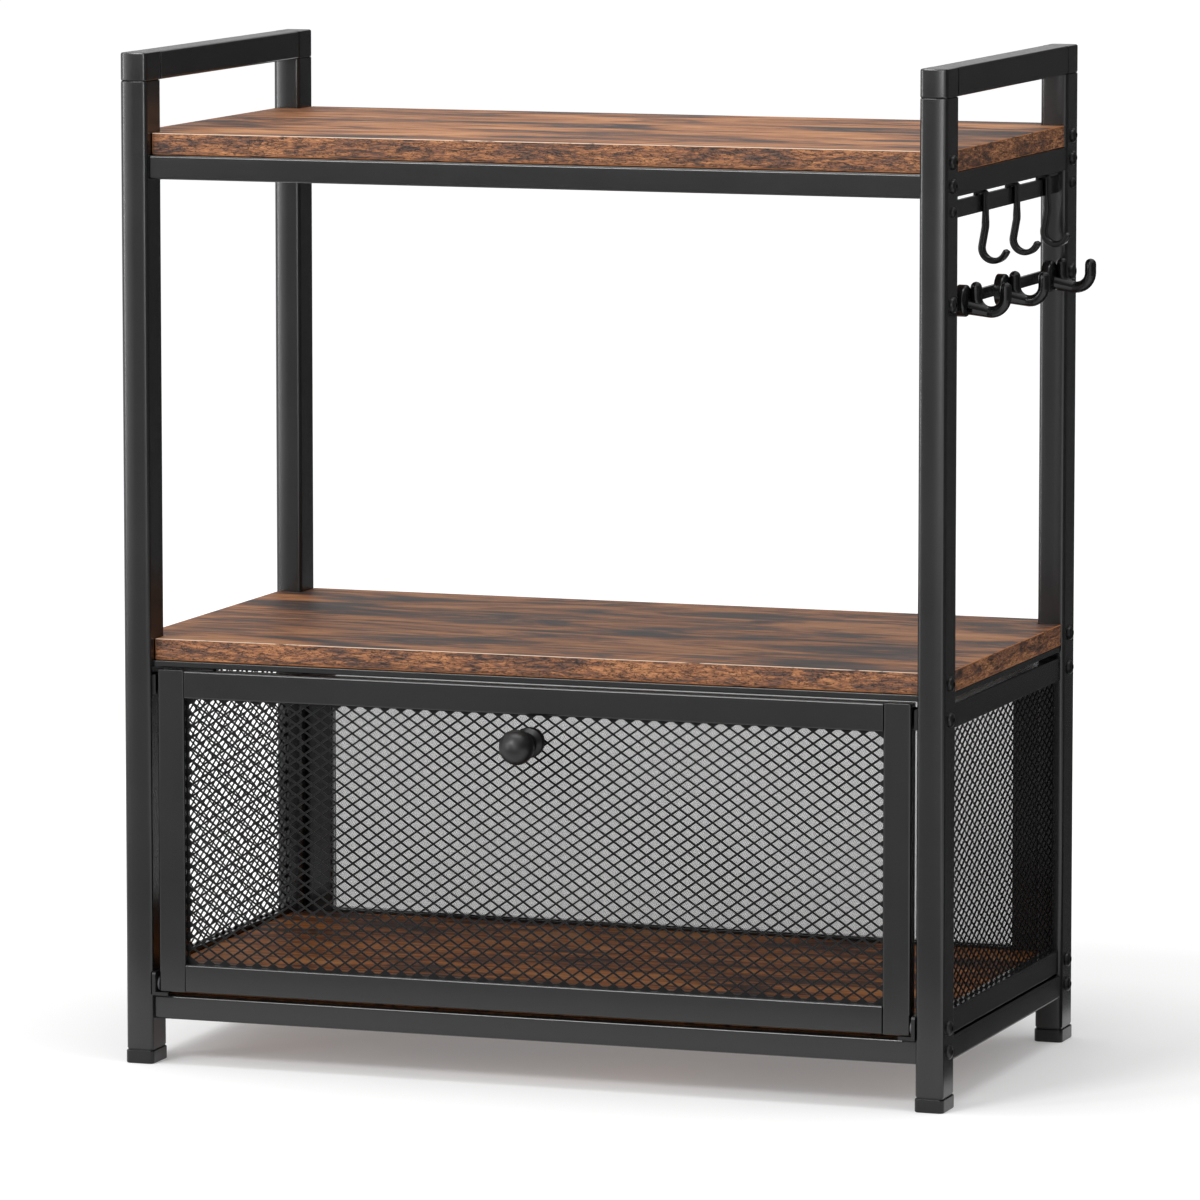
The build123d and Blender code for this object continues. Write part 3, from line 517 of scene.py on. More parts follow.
def cut(
    mesh: bmesh.types.BMesh, parts: list[Any], place: Vector, normal: Vector, clear_outer: bool = False
) -> list[Any]:
    """Cuts parts of a mesh along a plane.

    Args:
        mesh: The mesh.
        parts: The vertices, edges and faces to cut.
        place: A point of the plane.
        normal: The direction that the plane faces.
        clear_outer: Whether to delete what lies in that direction.

    Returns:
        The parts after the cut.
    """
    return bmesh.ops.bisect_plane(
        mesh, geom=parts, plane_co=place, plane_no=normal, clear_outer=clear_outer, dist=ON_PLANE
    )["geom"]


def soften(
    mesh: bmesh.types.BMesh, parts: Iterable[Any], radius: float, segments: int, what: str = "EDGES"
) -> None:
    """Rounds edges, or with "VERTICES" the corners of an outline.

    Args:
        mesh: The mesh.
        parts: The edges or the corners.
        radius: The radius.
        segments: The steps in it.
        what: What the parts are.
    """
    bmesh.ops.bevel(
        mesh,
        geom=list(parts),
        offset=radius,
        offset_type="OFFSET",
        segments=segments,
        profile=0.5,
        affect=what,
        clamp_overlap=True,
        material=-1,
    )


def rounded_face(
    mesh: bmesh.types.BMesh, wide: float, high: float, corner: float, segments: int
) -> bmesh.types.BMFace:
    """Adds a flat rectangle with rounded corners about the origin.

    Args:
        mesh: The mesh.
        wide: Its length along X.
        high: Its length along Y.
        corner: The radius of its corners.
        segments: The steps in a corner.

    Returns:
        Its one face.
    """
    before = set(mesh.faces)
    verts = bmesh.ops.create_grid(mesh, x_segments=1, y_segments=1, size=0.5)["verts"]
    bmesh.ops.scale(mesh, vec=(wide, high, 1.0), verts=verts)
    soften(mesh, verts, corner, segments, "VERTICES")
    return next(face for face in mesh.faces if face not in before)


@dataclass
class Piece:
    """A new piece of the stand while it is modelled, and the node that it stands for."""

    name: str
    slot: Slot
    finishes: tuple[Finish, ...]
    node: str
    body: Body = Body.STAND
    flat_faces: bool = True
    mesh: bmesh.types.BMesh = field(default_factory=bmesh.new)

    def block(self, box: Box, way: Way, corner: float, rim: float, segments: int = 4) -> list[Any]:
        """Adds a bar or block with rounded long corners and softened ends.

        Args:
            box: The place that it fills.
            way: The direction of its length.
            corner: The radius of the long corners.
            rim: The radius at its two ends, or 0 for sharp ends.
            segments: The steps in a long corner.

        Returns:
            The new vertices.
        """
        before = set(self.mesh.verts)
        verts = bmesh.ops.create_cube(self.mesh, size=1.0)["verts"]
        bmesh.ops.scale(self.mesh, vec=box.size, verts=verts)
        bmesh.ops.translate(self.mesh, vec=box.middle, verts=verts)
        long_edges = [edge for edge in edges_of(verts) if is_along(edge, way.vector)]
        soften(self.mesh, long_edges, corner, segments)
        verts = [vert for vert in self.mesh.verts if vert not in before]
        if rim > 0:
            ends = (box.low[way.value], box.high[way.value])
            rims = [edge for edge in edges_of(verts) if any(at_level(edge, way, end) for end in ends)]
            soften(self.mesh, rims, rim, RIM_STEPS)
        return [vert for vert in self.mesh.verts if vert not in before]

    def lathe(
        self, outline: Sequence[tuple[float, float]], steps: int, matrix: Matrix, soft: float = 0.0
    ) -> None:
        """Turns an outline about Z and moves the result into place.

        Args:
            outline: Pairs of radius and height, from the axis at one end to the axis at the other.
            steps: The number of faces round the axis.
            matrix: The place of the turned shape.
            soft: The radius at the outline's own corners.
        """
        made = bmesh.new()
        verts = [made.verts.new((radius, 0.0, height)) for radius, height in outline]
        for pair in zip(verts, verts[1:]):
            made.edges.new(pair)
        if soft > 0:
            soften(made, verts[1:-1], soft, SECTION_STEPS, "VERTICES")
        bmesh.ops.spin(
            made,
            geom=list(made.verts) + list(made.edges),
            cent=(0, 0, 0),
            axis=UP,
            angle=math.tau,
            steps=steps,
            use_merge=True,
            use_duplicate=False,
        )
        bmesh.ops.remove_doubles(made, verts=made.verts, dist=SAME_PLACE)
        bmesh.ops.recalc_face_normals(made, faces=made.faces)
        self.take(made, matrix)

    def take(self, made: bmesh.types.BMesh, matrix: Matrix) -> None:
        """Moves another bmesh's shape into place in this piece.

        Args:
            made: The other bmesh, which is used up.
            matrix: The place of its shape.
        """
        bmesh.ops.transform(made, matrix=matrix, verts=made.verts)
        carrier = bpy.data.meshes.new("carrier")
        made.to_mesh(carrier)
        made.free()
        self.mesh.from_mesh(carrier)
        bpy.data.meshes.remove(carrier)

    def done(self, crease: float = 40.0) -> None:
        """Makes the object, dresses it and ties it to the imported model.

        Args:
            crease: The angle in degrees above which an edge stays sharp.
        """
        data = bpy.data.meshes.new(self.name)
        self.mesh.to_mesh(data)
        self.mesh.free()
        data.polygons.foreach_set("use_smooth", [True] * len(data.polygons))
        data.set_sharp_from_angle(angle=math.radians(crease))
        for finish in self.finishes:
            data.materials.append(finish.material())
        piece = bpy.data.objects.new(self.name, data)
        bpy.context.scene.collection.objects.link(piece)
        if self.flat_faces:
            normals = piece.modifiers.new("even_faces", "WEIGHTED_NORMAL")
            normals.keep_sharp = True
            normals.weight = NORMALS_WEIGHT
        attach(piece, self.body.value)
        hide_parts(self.node)
        log.info("%s: %d faces, rides on %s", self.name, len(data.polygons), self.body.value)


def steel(name: str, node: str, body: Body = Body.STAND) -> Piece:
    """A piece of coated steel that stands for one node."""
    return Piece(name, Slot.POWDER_COAT, (POWDER_COAT,), node, body)


def steel_bar(
    name: str, node: str, way: Way, corner: float, rim: float, body: Body = Body.STAND, segments: int = 4
) -> None:
    """Models and dresses one straight bar of coated steel.

    Args:
        name: The name of the piece.
        node: The node that it stands for and fills.
        way: The direction of its length.
        corner: The radius of the long corners.
        rim: The radius at its two ends.
        body: The body that it rides on.
        segments: The steps in a long corner.
    """
    bar = steel(name, node, body)
    bar.block(Box.of_node(node), way, corner, rim, segments)
    bar.done()


def dress_nodes(finish: Finish, *nodes: str) -> None:
    """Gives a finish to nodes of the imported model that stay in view.

    Args:
        finish: The finish.
        nodes: The names of the nodes.
    """
    for node in nodes:
        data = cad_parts[node].data
        if not data.materials:
            data.materials.append(finish.material())
        for material_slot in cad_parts[node].material_slots:
            material_slot.material = finish.material()
        log.info("%s: the packed model's own mesh", node)


@dataclass
class Rod:
    """A rod grown from its first section by straight runs, bends and changes of size."""

    piece: Piece
    place: Vector
    heading: Vector
    across: Vector
    thickness: float
    width: float
    corner: float
    face: bmesh.types.BMFace | None = None

    def __post_init__(self) -> None:
        """Makes the first section."""
        mesh = self.piece.mesh
        self.face = rounded_face(mesh, self.thickness, self.width, self.corner, SECTION_STEPS)
        side = self.heading.cross(self.across)
        turn = Matrix((-side, self.across, self.heading)).transposed().to_4x4()
        bmesh.ops.transform(mesh, matrix=Matrix.Translation(self.place) @ turn, verts=self.face.verts)

    def grow(self, matrix: Matrix) -> None:
        """Adds one section.

        Args:
            matrix: What moves the last section to the new one's place.
        """
        made = bmesh.ops.extrude_face_region(self.piece.mesh, geom=[self.face])["geom"]
        self.face = next(part for part in made if isinstance(part, bmesh.types.BMFace))
        bmesh.ops.transform(self.piece.mesh, matrix=matrix, verts=self.face.verts)
        self.place = matrix @ self.place
        self.heading = (matrix.to_3x3() @ self.heading).normalized()
        self.across = (matrix.to_3x3() @ self.across).normalized()

    def run(self, length: float, grow_thick: float = 1.0, grow_wide: float = 1.0, steps: int = 1) -> None:
        """Goes straight on while the section changes its size.

        Args:
            length: The distance to go.
            grow_thick: The final thickness as a share of the present one.
            grow_wide: The final width as a share of the present one.
            steps: The number of sections.
        """
        for _ in range(steps):
            heading, across = self.heading.copy(), self.across.copy()
            thicker = Matrix.Scale(grow_thick ** (1 / steps), 4, heading.cross(across))
            wider = Matrix.Scale(grow_wide ** (1 / steps), 4, across)
            there = Matrix.Translation(self.place + heading * (length / steps))
            self.grow(there @ thicker @ wider @ Matrix.Translation(-self.place))
            self.heading, self.across = heading, across

    def bend(self, centre: Vector, degrees: float, steps: int) -> None:
        """Turns about an axis along the rod's width through a centre.

        Args:
            centre: A point of the axis.
            degrees: The angle, positive by the right-hand rule about the width's direction.
            steps: The number of sections.
        """
        turn = Matrix.Rotation(math.radians(degrees / steps), 4, self.across.copy())
        for _ in range(steps):
            self.grow(Matrix.Translation(centre) @ turn @ Matrix.Translation(-centre))

    def round_end(self, reach: float, steps: int = 4, last_angle: float = 86.0) -> None:
        """Closes the rod with a dome.

        Args:
            reach: The height of the dome.
            steps: The number of sections.
            last_angle: Where on the dome the last section lies, in degrees from its foot.
        """
        done_share, done_height = 1.0, 0.0
        for step in range(1, steps + 1):
            angle = math.radians(last_angle) * step / steps
            share, height = math.cos(angle), math.sin(angle)
            self.run((height - done_height) * reach, share / done_share, share / done_share)
            done_share, done_height = share, height


# The stand's own pieces


@dataclass
class SideFrames:
    """The four legs, their feet, the corner blocks and the handle bars."""

    leg_corner: float = 2.4 * MM
    leg_rim: float = 0.5 * MM
    crown: float = 1.0 * MM
    crown_cuts: int = 11
    corner_steps: int = 5
    block_rim: float = 1.3 * MM
    block_height: float = 20.0 * MM
    bar_corner: float = 2.0 * MM
    bar_rim: float = 0.4 * MM
    foot_height: float = 9.5 * MM
    foot_corner: float = 3.6 * MM
    foot_rim: float = 0.9 * MM
    neck_inset: float = 1.1 * MM
    neck_height: float = 1.0 * MM
    neck_overlap: float = 1.0 * MM

    def crowned(self, piece: Piece, box: Box, rim: float) -> None:
        """Adds an upright tube or block whose front and rear faces round slightly outwards.

        Args:
            piece: The piece to fill.
            box: The place that it fills.
            rim: The radius at its top and bottom.
        """
        verts = piece.block(box, Way.Z, self.leg_corner, rim, self.corner_steps)
        parts = verts + edges_of(verts) + list({face for vert in verts for face in vert.link_faces})
        for step in range(1, self.crown_cuts + 1):
            across = box.low.x + box.size.x * step / (self.crown_cuts + 1)
            parts = cut(piece.mesh, parts, Vector((across, 0, 0)), Way.X.vector)
        half = box.size / 2
        for part in parts:
            if isinstance(part, bmesh.types.BMVert):
                across = (part.co.x - box.middle.x) / half.x
                depth = part.co.y - box.middle.y
                part.co.y = box.middle.y + depth * (1 - self.crown / half.y * across * across)

    def build(self) -> None:
        """Models and dresses all pieces of the two side frames."""
        for end in ("front", "rear"):
            for side in ("left", "right"):
                node = f"leg_{end}_{side}"
                leg = steel(f"tube_{node}", node)
                self.crowned(leg, Box.of_node(node), self.leg_rim)
                leg.done()
        self.build_tops()
        self.build_feet()

    def build_tops(self) -> None:
        """Models the corner blocks and the handle bars between them."""
        blocks = Piece("corner_block_set", Slot.PLASTIC, (POWDER_COAT,), "corner_blocks")
        for box in solids_of("corner_blocks"):
            end = "front" if box.middle.y < 0 else "rear"
            side = "left" if box.middle.x < 0 else "right"
            leg = Box.of_node(f"leg_{end}_{side}")
            low = Vector((leg.low.x, leg.low.y, box.high.z - self.block_height))
            self.crowned(blocks, Box(low, Vector((leg.high.x, leg.high.y, box.high.z))), self.block_rim)
        blocks.done()
        for side in ("left", "right"):
            node = f"handle_bar_{side}"
            steel_bar(f"tube_{node}", node, Way.Y, self.bar_corner, self.bar_rim)

    def build_feet(self) -> None:
        """Models the moulded feet with the dark neck above each pad."""
        feet = Piece("moulded_feet", Slot.PLASTIC, (MOULDED,), "feet")
        for box in solids_of("feet"):
            top = box.low.z + self.foot_height
            pad = Box(box.low, Vector((box.high.x, box.high.y, top)))
            feet.block(pad, Way.Z, self.foot_corner, self.foot_rim, self.corner_steps)
            inset = Vector((self.neck_inset, self.neck_inset, 0.0))
            low = Vector((box.low.x, box.low.y, top - self.neck_overlap)) + inset
            high = Vector((box.high.x, box.high.y, top + self.neck_height + self.neck_overlap)) - inset
            feet.block(Box(low, high), Way.Z, self.foot_corner - self.neck_inset, 0.0)
        feet.done()


@dataclass
class Rails:
    """The rails and strips that join the side frames and carry the boards."""

    rail_corner: float = 2.0 * MM
    strip_corner: float = 0.8 * MM
    rim: float = 0.5 * MM

    def build(self) -> None:
        """Models and dresses each rail and strip."""
        levels = {
            "top_rail": self.rail_corner,
            "shelf_strip": self.strip_corner,
            "bottom_rail": self.rail_corner,
        }
        for level, corner in levels.items():
            for side, way in (("front", Way.X), ("rear", Way.X), ("left", Way.Y), ("right", Way.Y)):
                node = f"{level}_{side}"
                steel_bar(f"steel_{node}", node, way, corner, self.rim)
        dress_nodes(SCREW_BLACK, "strip_screws")


@dataclass
class Boards:
    """The three boards, notched round the legs."""

    clearance: float = 0.5 * MM
    edge: float = 0.55 * MM
    # The lower rim is the wider one and carries the painted shade under the board.
    lower_edge: float = 1.2 * MM
    edge_steps: int = 3
    bracket: float = 2.5 * MM
    straight_angle: float = 0.01

    def model(self, board: Piece, box: Box, front_plate: float) -> None:
        """Models one board: cuts its outline from a rectangle, raises it and rounds its edges.

        Args:
            board: The piece to fill.
            box: The board's box.
            front_plate: The thickness of a bracket on the front legs, which the notch clears.
        """
        leg = Box.of_node("leg_front_right")
        rear = Box.of_node("leg_rear_right")
        front_x = leg.low.x - self.clearance - front_plate
        rear_x = rear.low.x - self.clearance
        front_y = leg.high.y + self.clearance
        rear_y = rear.low.y - self.clearance
        mesh = board.mesh
        verts = bmesh.ops.create_grid(mesh, x_segments=1, y_segments=1, size=0.5)["verts"]
        bmesh.ops.scale(mesh, vec=(box.size.x, box.size.y, 1.0), verts=verts)
        bmesh.ops.translate(mesh, vec=(box.middle.x, box.middle.y, box.low.z), verts=verts)
        cuts = [(place, Way.X) for place in (front_x, -front_x, rear_x, -rear_x)]
        for place, way in cuts + [(front_y, Way.Y), (rear_y, Way.Y)]:
            cut(mesh, everything(mesh), way.vector * place, way.vector)
        notches = []
        for face in mesh.faces:
            middle = face.calc_center_median()
            in_front = middle.y < front_y and abs(middle.x) > front_x
            behind = middle.y > rear_y and abs(middle.x) > rear_x
            if in_front or behind:
                notches.append(face)
        bmesh.ops.delete(mesh, geom=notches, context="FACES")
        bmesh.ops.dissolve_faces(mesh, faces=list(mesh.faces))
        bmesh.ops.dissolve_limit(
            mesh, angle_limit=self.straight_angle, verts=list(mesh.verts), edges=list(mesh.edges)
        )
        made = bmesh.ops.extrude_face_region(mesh, geom=list(mesh.faces))["geom"]
        top = [part for part in made if isinstance(part, bmesh.types.BMVert)]
        bmesh.ops.translate(mesh, vec=(0, 0, box.size.z), verts=top)
        soften(mesh, [edge for edge in mesh.edges if is_along(edge, UP)], self.edge, RIM_STEPS)
        for level, radius in ((box.low.z, self.lower_edge), (box.high.z, self.edge)):
            rim = [edge for edge in mesh.edges if at_level(edge, Way.Z, level)]
            soften(mesh, rim, radius, self.edge_steps)
        bmesh.ops.recalc_face_normals(mesh, faces=mesh.faces)

    def choose_finishes(self, mesh: bmesh.types.BMesh) -> None:
        """Gives the broad faces the first finish, the narrow ones the second and the rims the third, which
        paints a highlight on the upper front rim and shade underneath.

        Args:
            mesh: The board's mesh.
        """
        for face in mesh.faces:
            flat = max(abs(value) for value in face.normal) > ALIGNED
            broad = abs(face.normal.z) > ALIGNED
            face.material_index = (0 if broad else 1) if flat else 2

    def build(self) -> None:
        """Models and dresses the boards."""
        boards = (
            ("top_board", BoardFace(), 0.0),
            ("middle_board", BoardFace(), 0.0),
            ("bottom_board", CABINET_FLOOR_PAINTED_LIGHT, self.bracket),
        )
        for node, face, plate in boards:
            board = Piece(f"wood_{node}", Slot.BOARD, (face, BoardEdge(), WornEdgeAndPaintedLight()), node)
            self.model(board, Box.of_node(node), plate)
            self.choose_finishes(board.mesh)
            board.done()


@dataclass(frozen=True)
class Lattice:
    """A flat lattice, with the width and height of its diamonds."""

    pitch_wide: float
    pitch_high: float

    def fill(self, node: str, way: Way, body: Body = Body.STAND) -> Piece:
        """Fills the upright box of a node with the lattice.

        Args:
            node: The node that the lattice stands for.
            way: The direction of its width.
            body: The body that it rides on.

        Returns:
            The piece, not yet done.
        """
        net = Piece(f"steel_{node}", Slot.POWDER_COAT, (NET_STEEL,), node, body, flat_faces=False)
        box = Box.of_node(node)
        made = bmesh.new()
        self.weave(made, box.size[way.value], box.size.z)
        turn = Matrix.Rotation(math.pi / 2, 4, "X")
        if way is Way.Y:
            turn = Matrix.Rotation(math.pi / 2, 4, "Z") @ turn
        net.take(made, Matrix.Translation(box.middle) @ turn)
        return net

    def weave(self, made: bmesh.types.BMesh, wide: float, high: float) -> None:
        """Makes the lattice about the origin, its width along X and its height along Y."""
        raise NotImplementedError


@dataclass(frozen=True)
class Net(Lattice):
    """An expanded-metal net: diamonds with tilted strands."""

    strand: float = 1.3 * MM
    thickness: float = 0.7 * MM
    tilt: float = 0.3 * MM
    whole_share: float = 0.45

    def weave(self, made: bmesh.types.BMesh, wide: float, high: float) -> None:
        """Opens the diamonds of a turned grid and gives what is left its thickness.

        Args:
            made: The mesh to fill, about the origin.
            wide: The net's length along X.
            high: The net's length along Y.
        """
        cells = 2 * math.ceil((wide / self.pitch_wide + high / self.pitch_high) / 2) + 2
        bmesh.ops.create_grid(made, x_segments=cells, y_segments=cells, size=cells / 2)
        eighth = Matrix.Rotation(math.pi / 4, 3, "Z")
        bmesh.ops.rotate(made, cent=(0, 0, 0), matrix=eighth, verts=made.verts)
        root = math.sqrt(2.0)
        bmesh.ops.scale(made, vec=(self.pitch_wide / root, self.pitch_high / root, 1), verts=made.verts)
        for side in (-1.0, 1.0):
            for way, reach in ((Way.X, wide / 2), (Way.Y, high / 2)):
                outward = way.vector * side
                cut(made, everything(made), outward * reach, outward, clear_outer=True)
        diamond = self.pitch_wide * self.pitch_high / 2
        openings = [face for face in made.faces if face.calc_area() > diamond * self.whole_share]
        bmesh.ops.inset_individual(made, faces=openings, thickness=self.strand / 2, use_even_offset=True)
        for face in openings:
            middle = face.calc_center_median()
            for vert in face.verts:
                share = (vert.co.y - middle.y) / (self.pitch_high / 2)
                vert.co.z += self.tilt * share
        bmesh.ops.delete(made, geom=openings, context="FACES_ONLY")
        bmesh.ops.recalc_face_normals(made, faces=made.faces)
        bmesh.ops.solidify(made, geom=list(made.faces), thickness=self.thickness)
        bmesh.ops.translate(made, vec=(0, 0, self.thickness / 2), verts=made.verts)
        bmesh.ops.recalc_face_normals(made, faces=made.faces)


@dataclass(frozen=True)
class Screen(Lattice):
    """A fine screen: two layers of straight wires that cross in small diamonds."""

    wire: float
    layer_share: float = 0.4

    def weave(self, made: bmesh.types.BMesh, wide: float, high: float) -> None:
        """Lays the wires of both layers.

        Args:
            made: The mesh to fill, about the origin.
            wide: The screen's length along X.
            high: The screen's length along Y.
        """
        reach_wide, reach_high = wide / 2 - self.wire, high / 2 - self.wire
        rise = self.pitch_high / self.pitch_wide
        count = math.floor((reach_wide + reach_high / rise) / self.pitch_wide)
        for lean in (-1, 1):
            turn = Matrix.Rotation(lean * math.atan(rise), 4, "Z")
            for step in range(-count, count + 1):
                foot = step * self.pitch_wide
                left = max(-reach_wide, foot - reach_high / rise)
                right = min(reach_wide, foot + reach_high / rise)
                if right - left < self.pitch_wide:
                    continue
                across = (left + right) / 2
                place = Vector((across, lean * rise * (across - foot), lean * self.wire * self.layer_share))
                length = (right - left) * math.hypot(1.0, rise)
                size = Matrix.Diagonal((length, self.wire, self.wire, 1.0))
                bmesh.ops.create_cube(made, size=1.0, matrix=Matrix.Translation(place) @ turn @ size)


@dataclass
class CabinetWalls:
    """The framed nets at the back and the two sides of the cabinet."""

    corner: float = 1.4 * MM
    rim: float = 0.4 * MM
    side_net: Lattice = Net(12.3 * MM, 7.0 * MM, 1.1 * MM)
    back_net: Lattice = Screen(1.4 * MM, 0.98 * MM, 0.29 * MM)

    def build(self) -> None:
        """Models and dresses the frames and nets of the three walls."""
        frames = {
            "back_panel_stiles": Way.Z,
            "back_panel_bars": Way.X,
            "left_panel_bars": Way.Y,
            "right_panel_bars": Way.Y,
        }
        for node, way in frames.items():
            bars = steel(f"steel_{node}", node)
            for box in solids_of(node):
                bars.block(box, way, self.corner, self.rim)
            bars.done()
        self.back_net.fill("back_panel_net", Way.X).done(NET_CREASE)
        for side in ("left", "right"):
            self.side_net.fill(f"{side}_panel_net", Way.Y).done(NET_CREASE)


@dataclass
class Door:
    """The flip-down door with its net, knob, bumper and pivot hardware."""

    corner: float = 1.8 * MM
    rim: float = 0.5 * MM
    net: Lattice = Net(12.0 * MM, 8.3 * MM)
    plate_radius: float = 10.0 * MM
    plate_steps: int = 32
    knob_neck: float = 7.0 * MM
    knob_foot: float = 10.7 * MM
    knob_foot_edge: float = 4.0 * MM
    knob_slope: float = 4.0 * MM
    knob_radius: float = 12.25 * MM
    knob_steps: int = 48
    ball_rings: int = 32
    collar_growth: float = 1.15
    collar_starts: float = 0.75
    collar_ends: float = 0.6
    knob_softness: float = 1.2 * MM
    bumper_corner: float = 0.8 * MM

    def build(self) -> None:
        """Models and dresses everything on the door."""
        bars = {
            "door_stile_left": Way.Z,
            "door_stile_right": Way.Z,
            "door_rail_top": Way.X,
            "door_rail_bottom": Way.X,
        }
        for node, way in bars.items():
            steel_bar(f"steel_{node}", node, way, self.corner, self.rim, Body.DOOR)
        self.build_net()
        self.build_knob()
        bumper = Piece("rubber_bumper", Slot.RUBBER, (RUBBER_BLACK,), "door_bumper", Body.DOOR)
        bumper.block(Box.of_node("door_bumper"), Way.X, self.bumper_corner, self.bumper_corner)
        bumper.done()
        dress_nodes(NYLON_GREY, "hinge_bushes")
        dress_nodes(SCREW_BLACK, "knob_screw", "knob_washers", "hinge_brackets", "catch_brackets")
        dress_nodes(MAGNET_GREY, "catch_magnets")

    def build_net(self) -> None:
        """Models the door's net with the round plate that carries the knob."""
        box = Box.of_node("door_net")
        knob = Box.of_node("door_knob")
        net = self.net.fill("door_net", Way.X, Body.DOOR)
        half = box.size.y / 2
        outline = [(0.0, -half), (self.plate_radius, -half), (self.plate_radius, half), (0.0, half)]
        place = Vector((knob.middle.x, box.middle.y, knob.middle.z))
        net.lathe(outline, self.plate_steps, facing(-BACK, place))
        net.done(NET_CREASE)

    def build_knob(self) -> None:
        """Models the ball knob with its waisted foot."""
        box = Box.of_node("door_knob")
        knob = Piece("ball_knob", Slot.PLASTIC, (KNOB_SATIN,), "door_knob", Body.DOOR, flat_faces=False)
        reach = box.size.y - self.knob_radius
        collar_end = reach - self.knob_radius * self.collar_ends
        outline = [
            (0.0, 0.0),
            (self.knob_foot, 0.0),
            (self.knob_foot, self.knob_foot_edge),
            (self.knob_neck, self.knob_foot_edge + self.knob_slope),
            (self.knob_neck, reach - self.knob_radius * self.collar_starts),
            (self.knob_neck * self.collar_growth, collar_end),
            (0.0, collar_end),
        ]
        matrix = facing(-BACK, Vector((box.middle.x, box.high.y, box.middle.z)))
        knob.lathe(outline, self.knob_steps, matrix, self.knob_softness)
        ball = bmesh.new()
        steps, rings = self.knob_steps, self.ball_rings
        bmesh.ops.create_uvsphere(ball, u_segments=steps, v_segments=rings, radius=self.knob_radius)
        knob.take(ball, matrix @ Matrix.Translation(UP * reach))
        knob.done()


@dataclass(frozen=True)
class Head:
    """A domed screw head: its radius, its height and the height of its straight edge."""

    radius: float
    height: float
    rim: float


@dataclass
class Fasteners:
    """The domed bolts and board screws on the legs, and the small screws of the hook bars."""

    bolt: Head = Head(5.0 * MM, 2.84 * MM, 0.9 * MM)
    dome_shares: tuple[float, ...] = (0.97, 0.85, 0.66)
    socket: float = 1.75 * MM
    socket_share: float = 0.42
    socket_depth: float = 1.6 * MM
    socket_lip: float = 0.5 * MM
    lip_shares: tuple[float, float] = (0.99, 0.97)
    shank_radius: float = 2.0 * MM
    pan_height: float = 2.2 * MM
    pan_rim_share: float = 0.4
    cap_height: float = 3.0 * MM
    least_cap_radius: float = 4.5 * MM
    steps: int = 24
    crease: float = 35.0

    def add(self, screws: Piece, box: Box, head: Head) -> None:
        """Adds one screw, its socketed head at the end away from the stand's middle.

        Args:
            screws: The piece to fill.
            box: The screw's box.
            head: The size of its head.
        """
        side = math.copysign(1.0, box.middle.x)
        outer = box.high.x if side > 0 else box.low.x
        seat = Vector((outer - side * head.height, box.middle.y, box.middle.z))
        shank = box.size.x - head.height
        socket = min(self.socket, head.radius * self.socket_share)
        floor = max(head.height - self.socket_depth, head.rim / 2)
        outline = [(0.0, -shank), (self.shank_radius, -shank), (self.shank_radius, 0.0)]
        outline += [(head.radius, 0.0), (head.radius, head.rim)]
        for share in self.dome_shares:
            rise = (head.height - head.rim) * math.sqrt(1 - share * share)
            outline.append((head.radius * share, head.rim + rise))
        outer_lip, inner_lip = [head.height * share for share in self.lip_shares]
        outline += [(socket + self.socket_lip, outer_lip), (socket, inner_lip)]
        outline += [(socket, floor), (0.0, floor)]
        screws.lathe(outline, self.steps, facing(Way.X.vector * side, seat))

    def build(self) -> None:
        """Models and dresses all visible screws and bolts."""
        for node in ("frame_bolts", "bracket_bolts", "board_screws"):
            bolts = Piece(f"domed_{node}", Slot.HARDWARE, (SCREW_BLACK,), node, flat_faces=False)
            for box in solids_of(node):
                self.add(bolts, box, self.bolt)
            bolts.done(self.crease)
        for node in ("hook_bar_screws", "cradle_screws"):
            screws = Piece(f"small_{node}", Slot.HARDWARE, (SCREW_BLACK,), node, flat_faces=False)
            for box in solids_of(node):
                radius = box.size.y / 2
                height = self.cap_height if radius > self.least_cap_radius else self.pan_height
                self.add(screws, box, Head(radius, height, height * self.pan_rim_share))
            screws.done(self.crease)


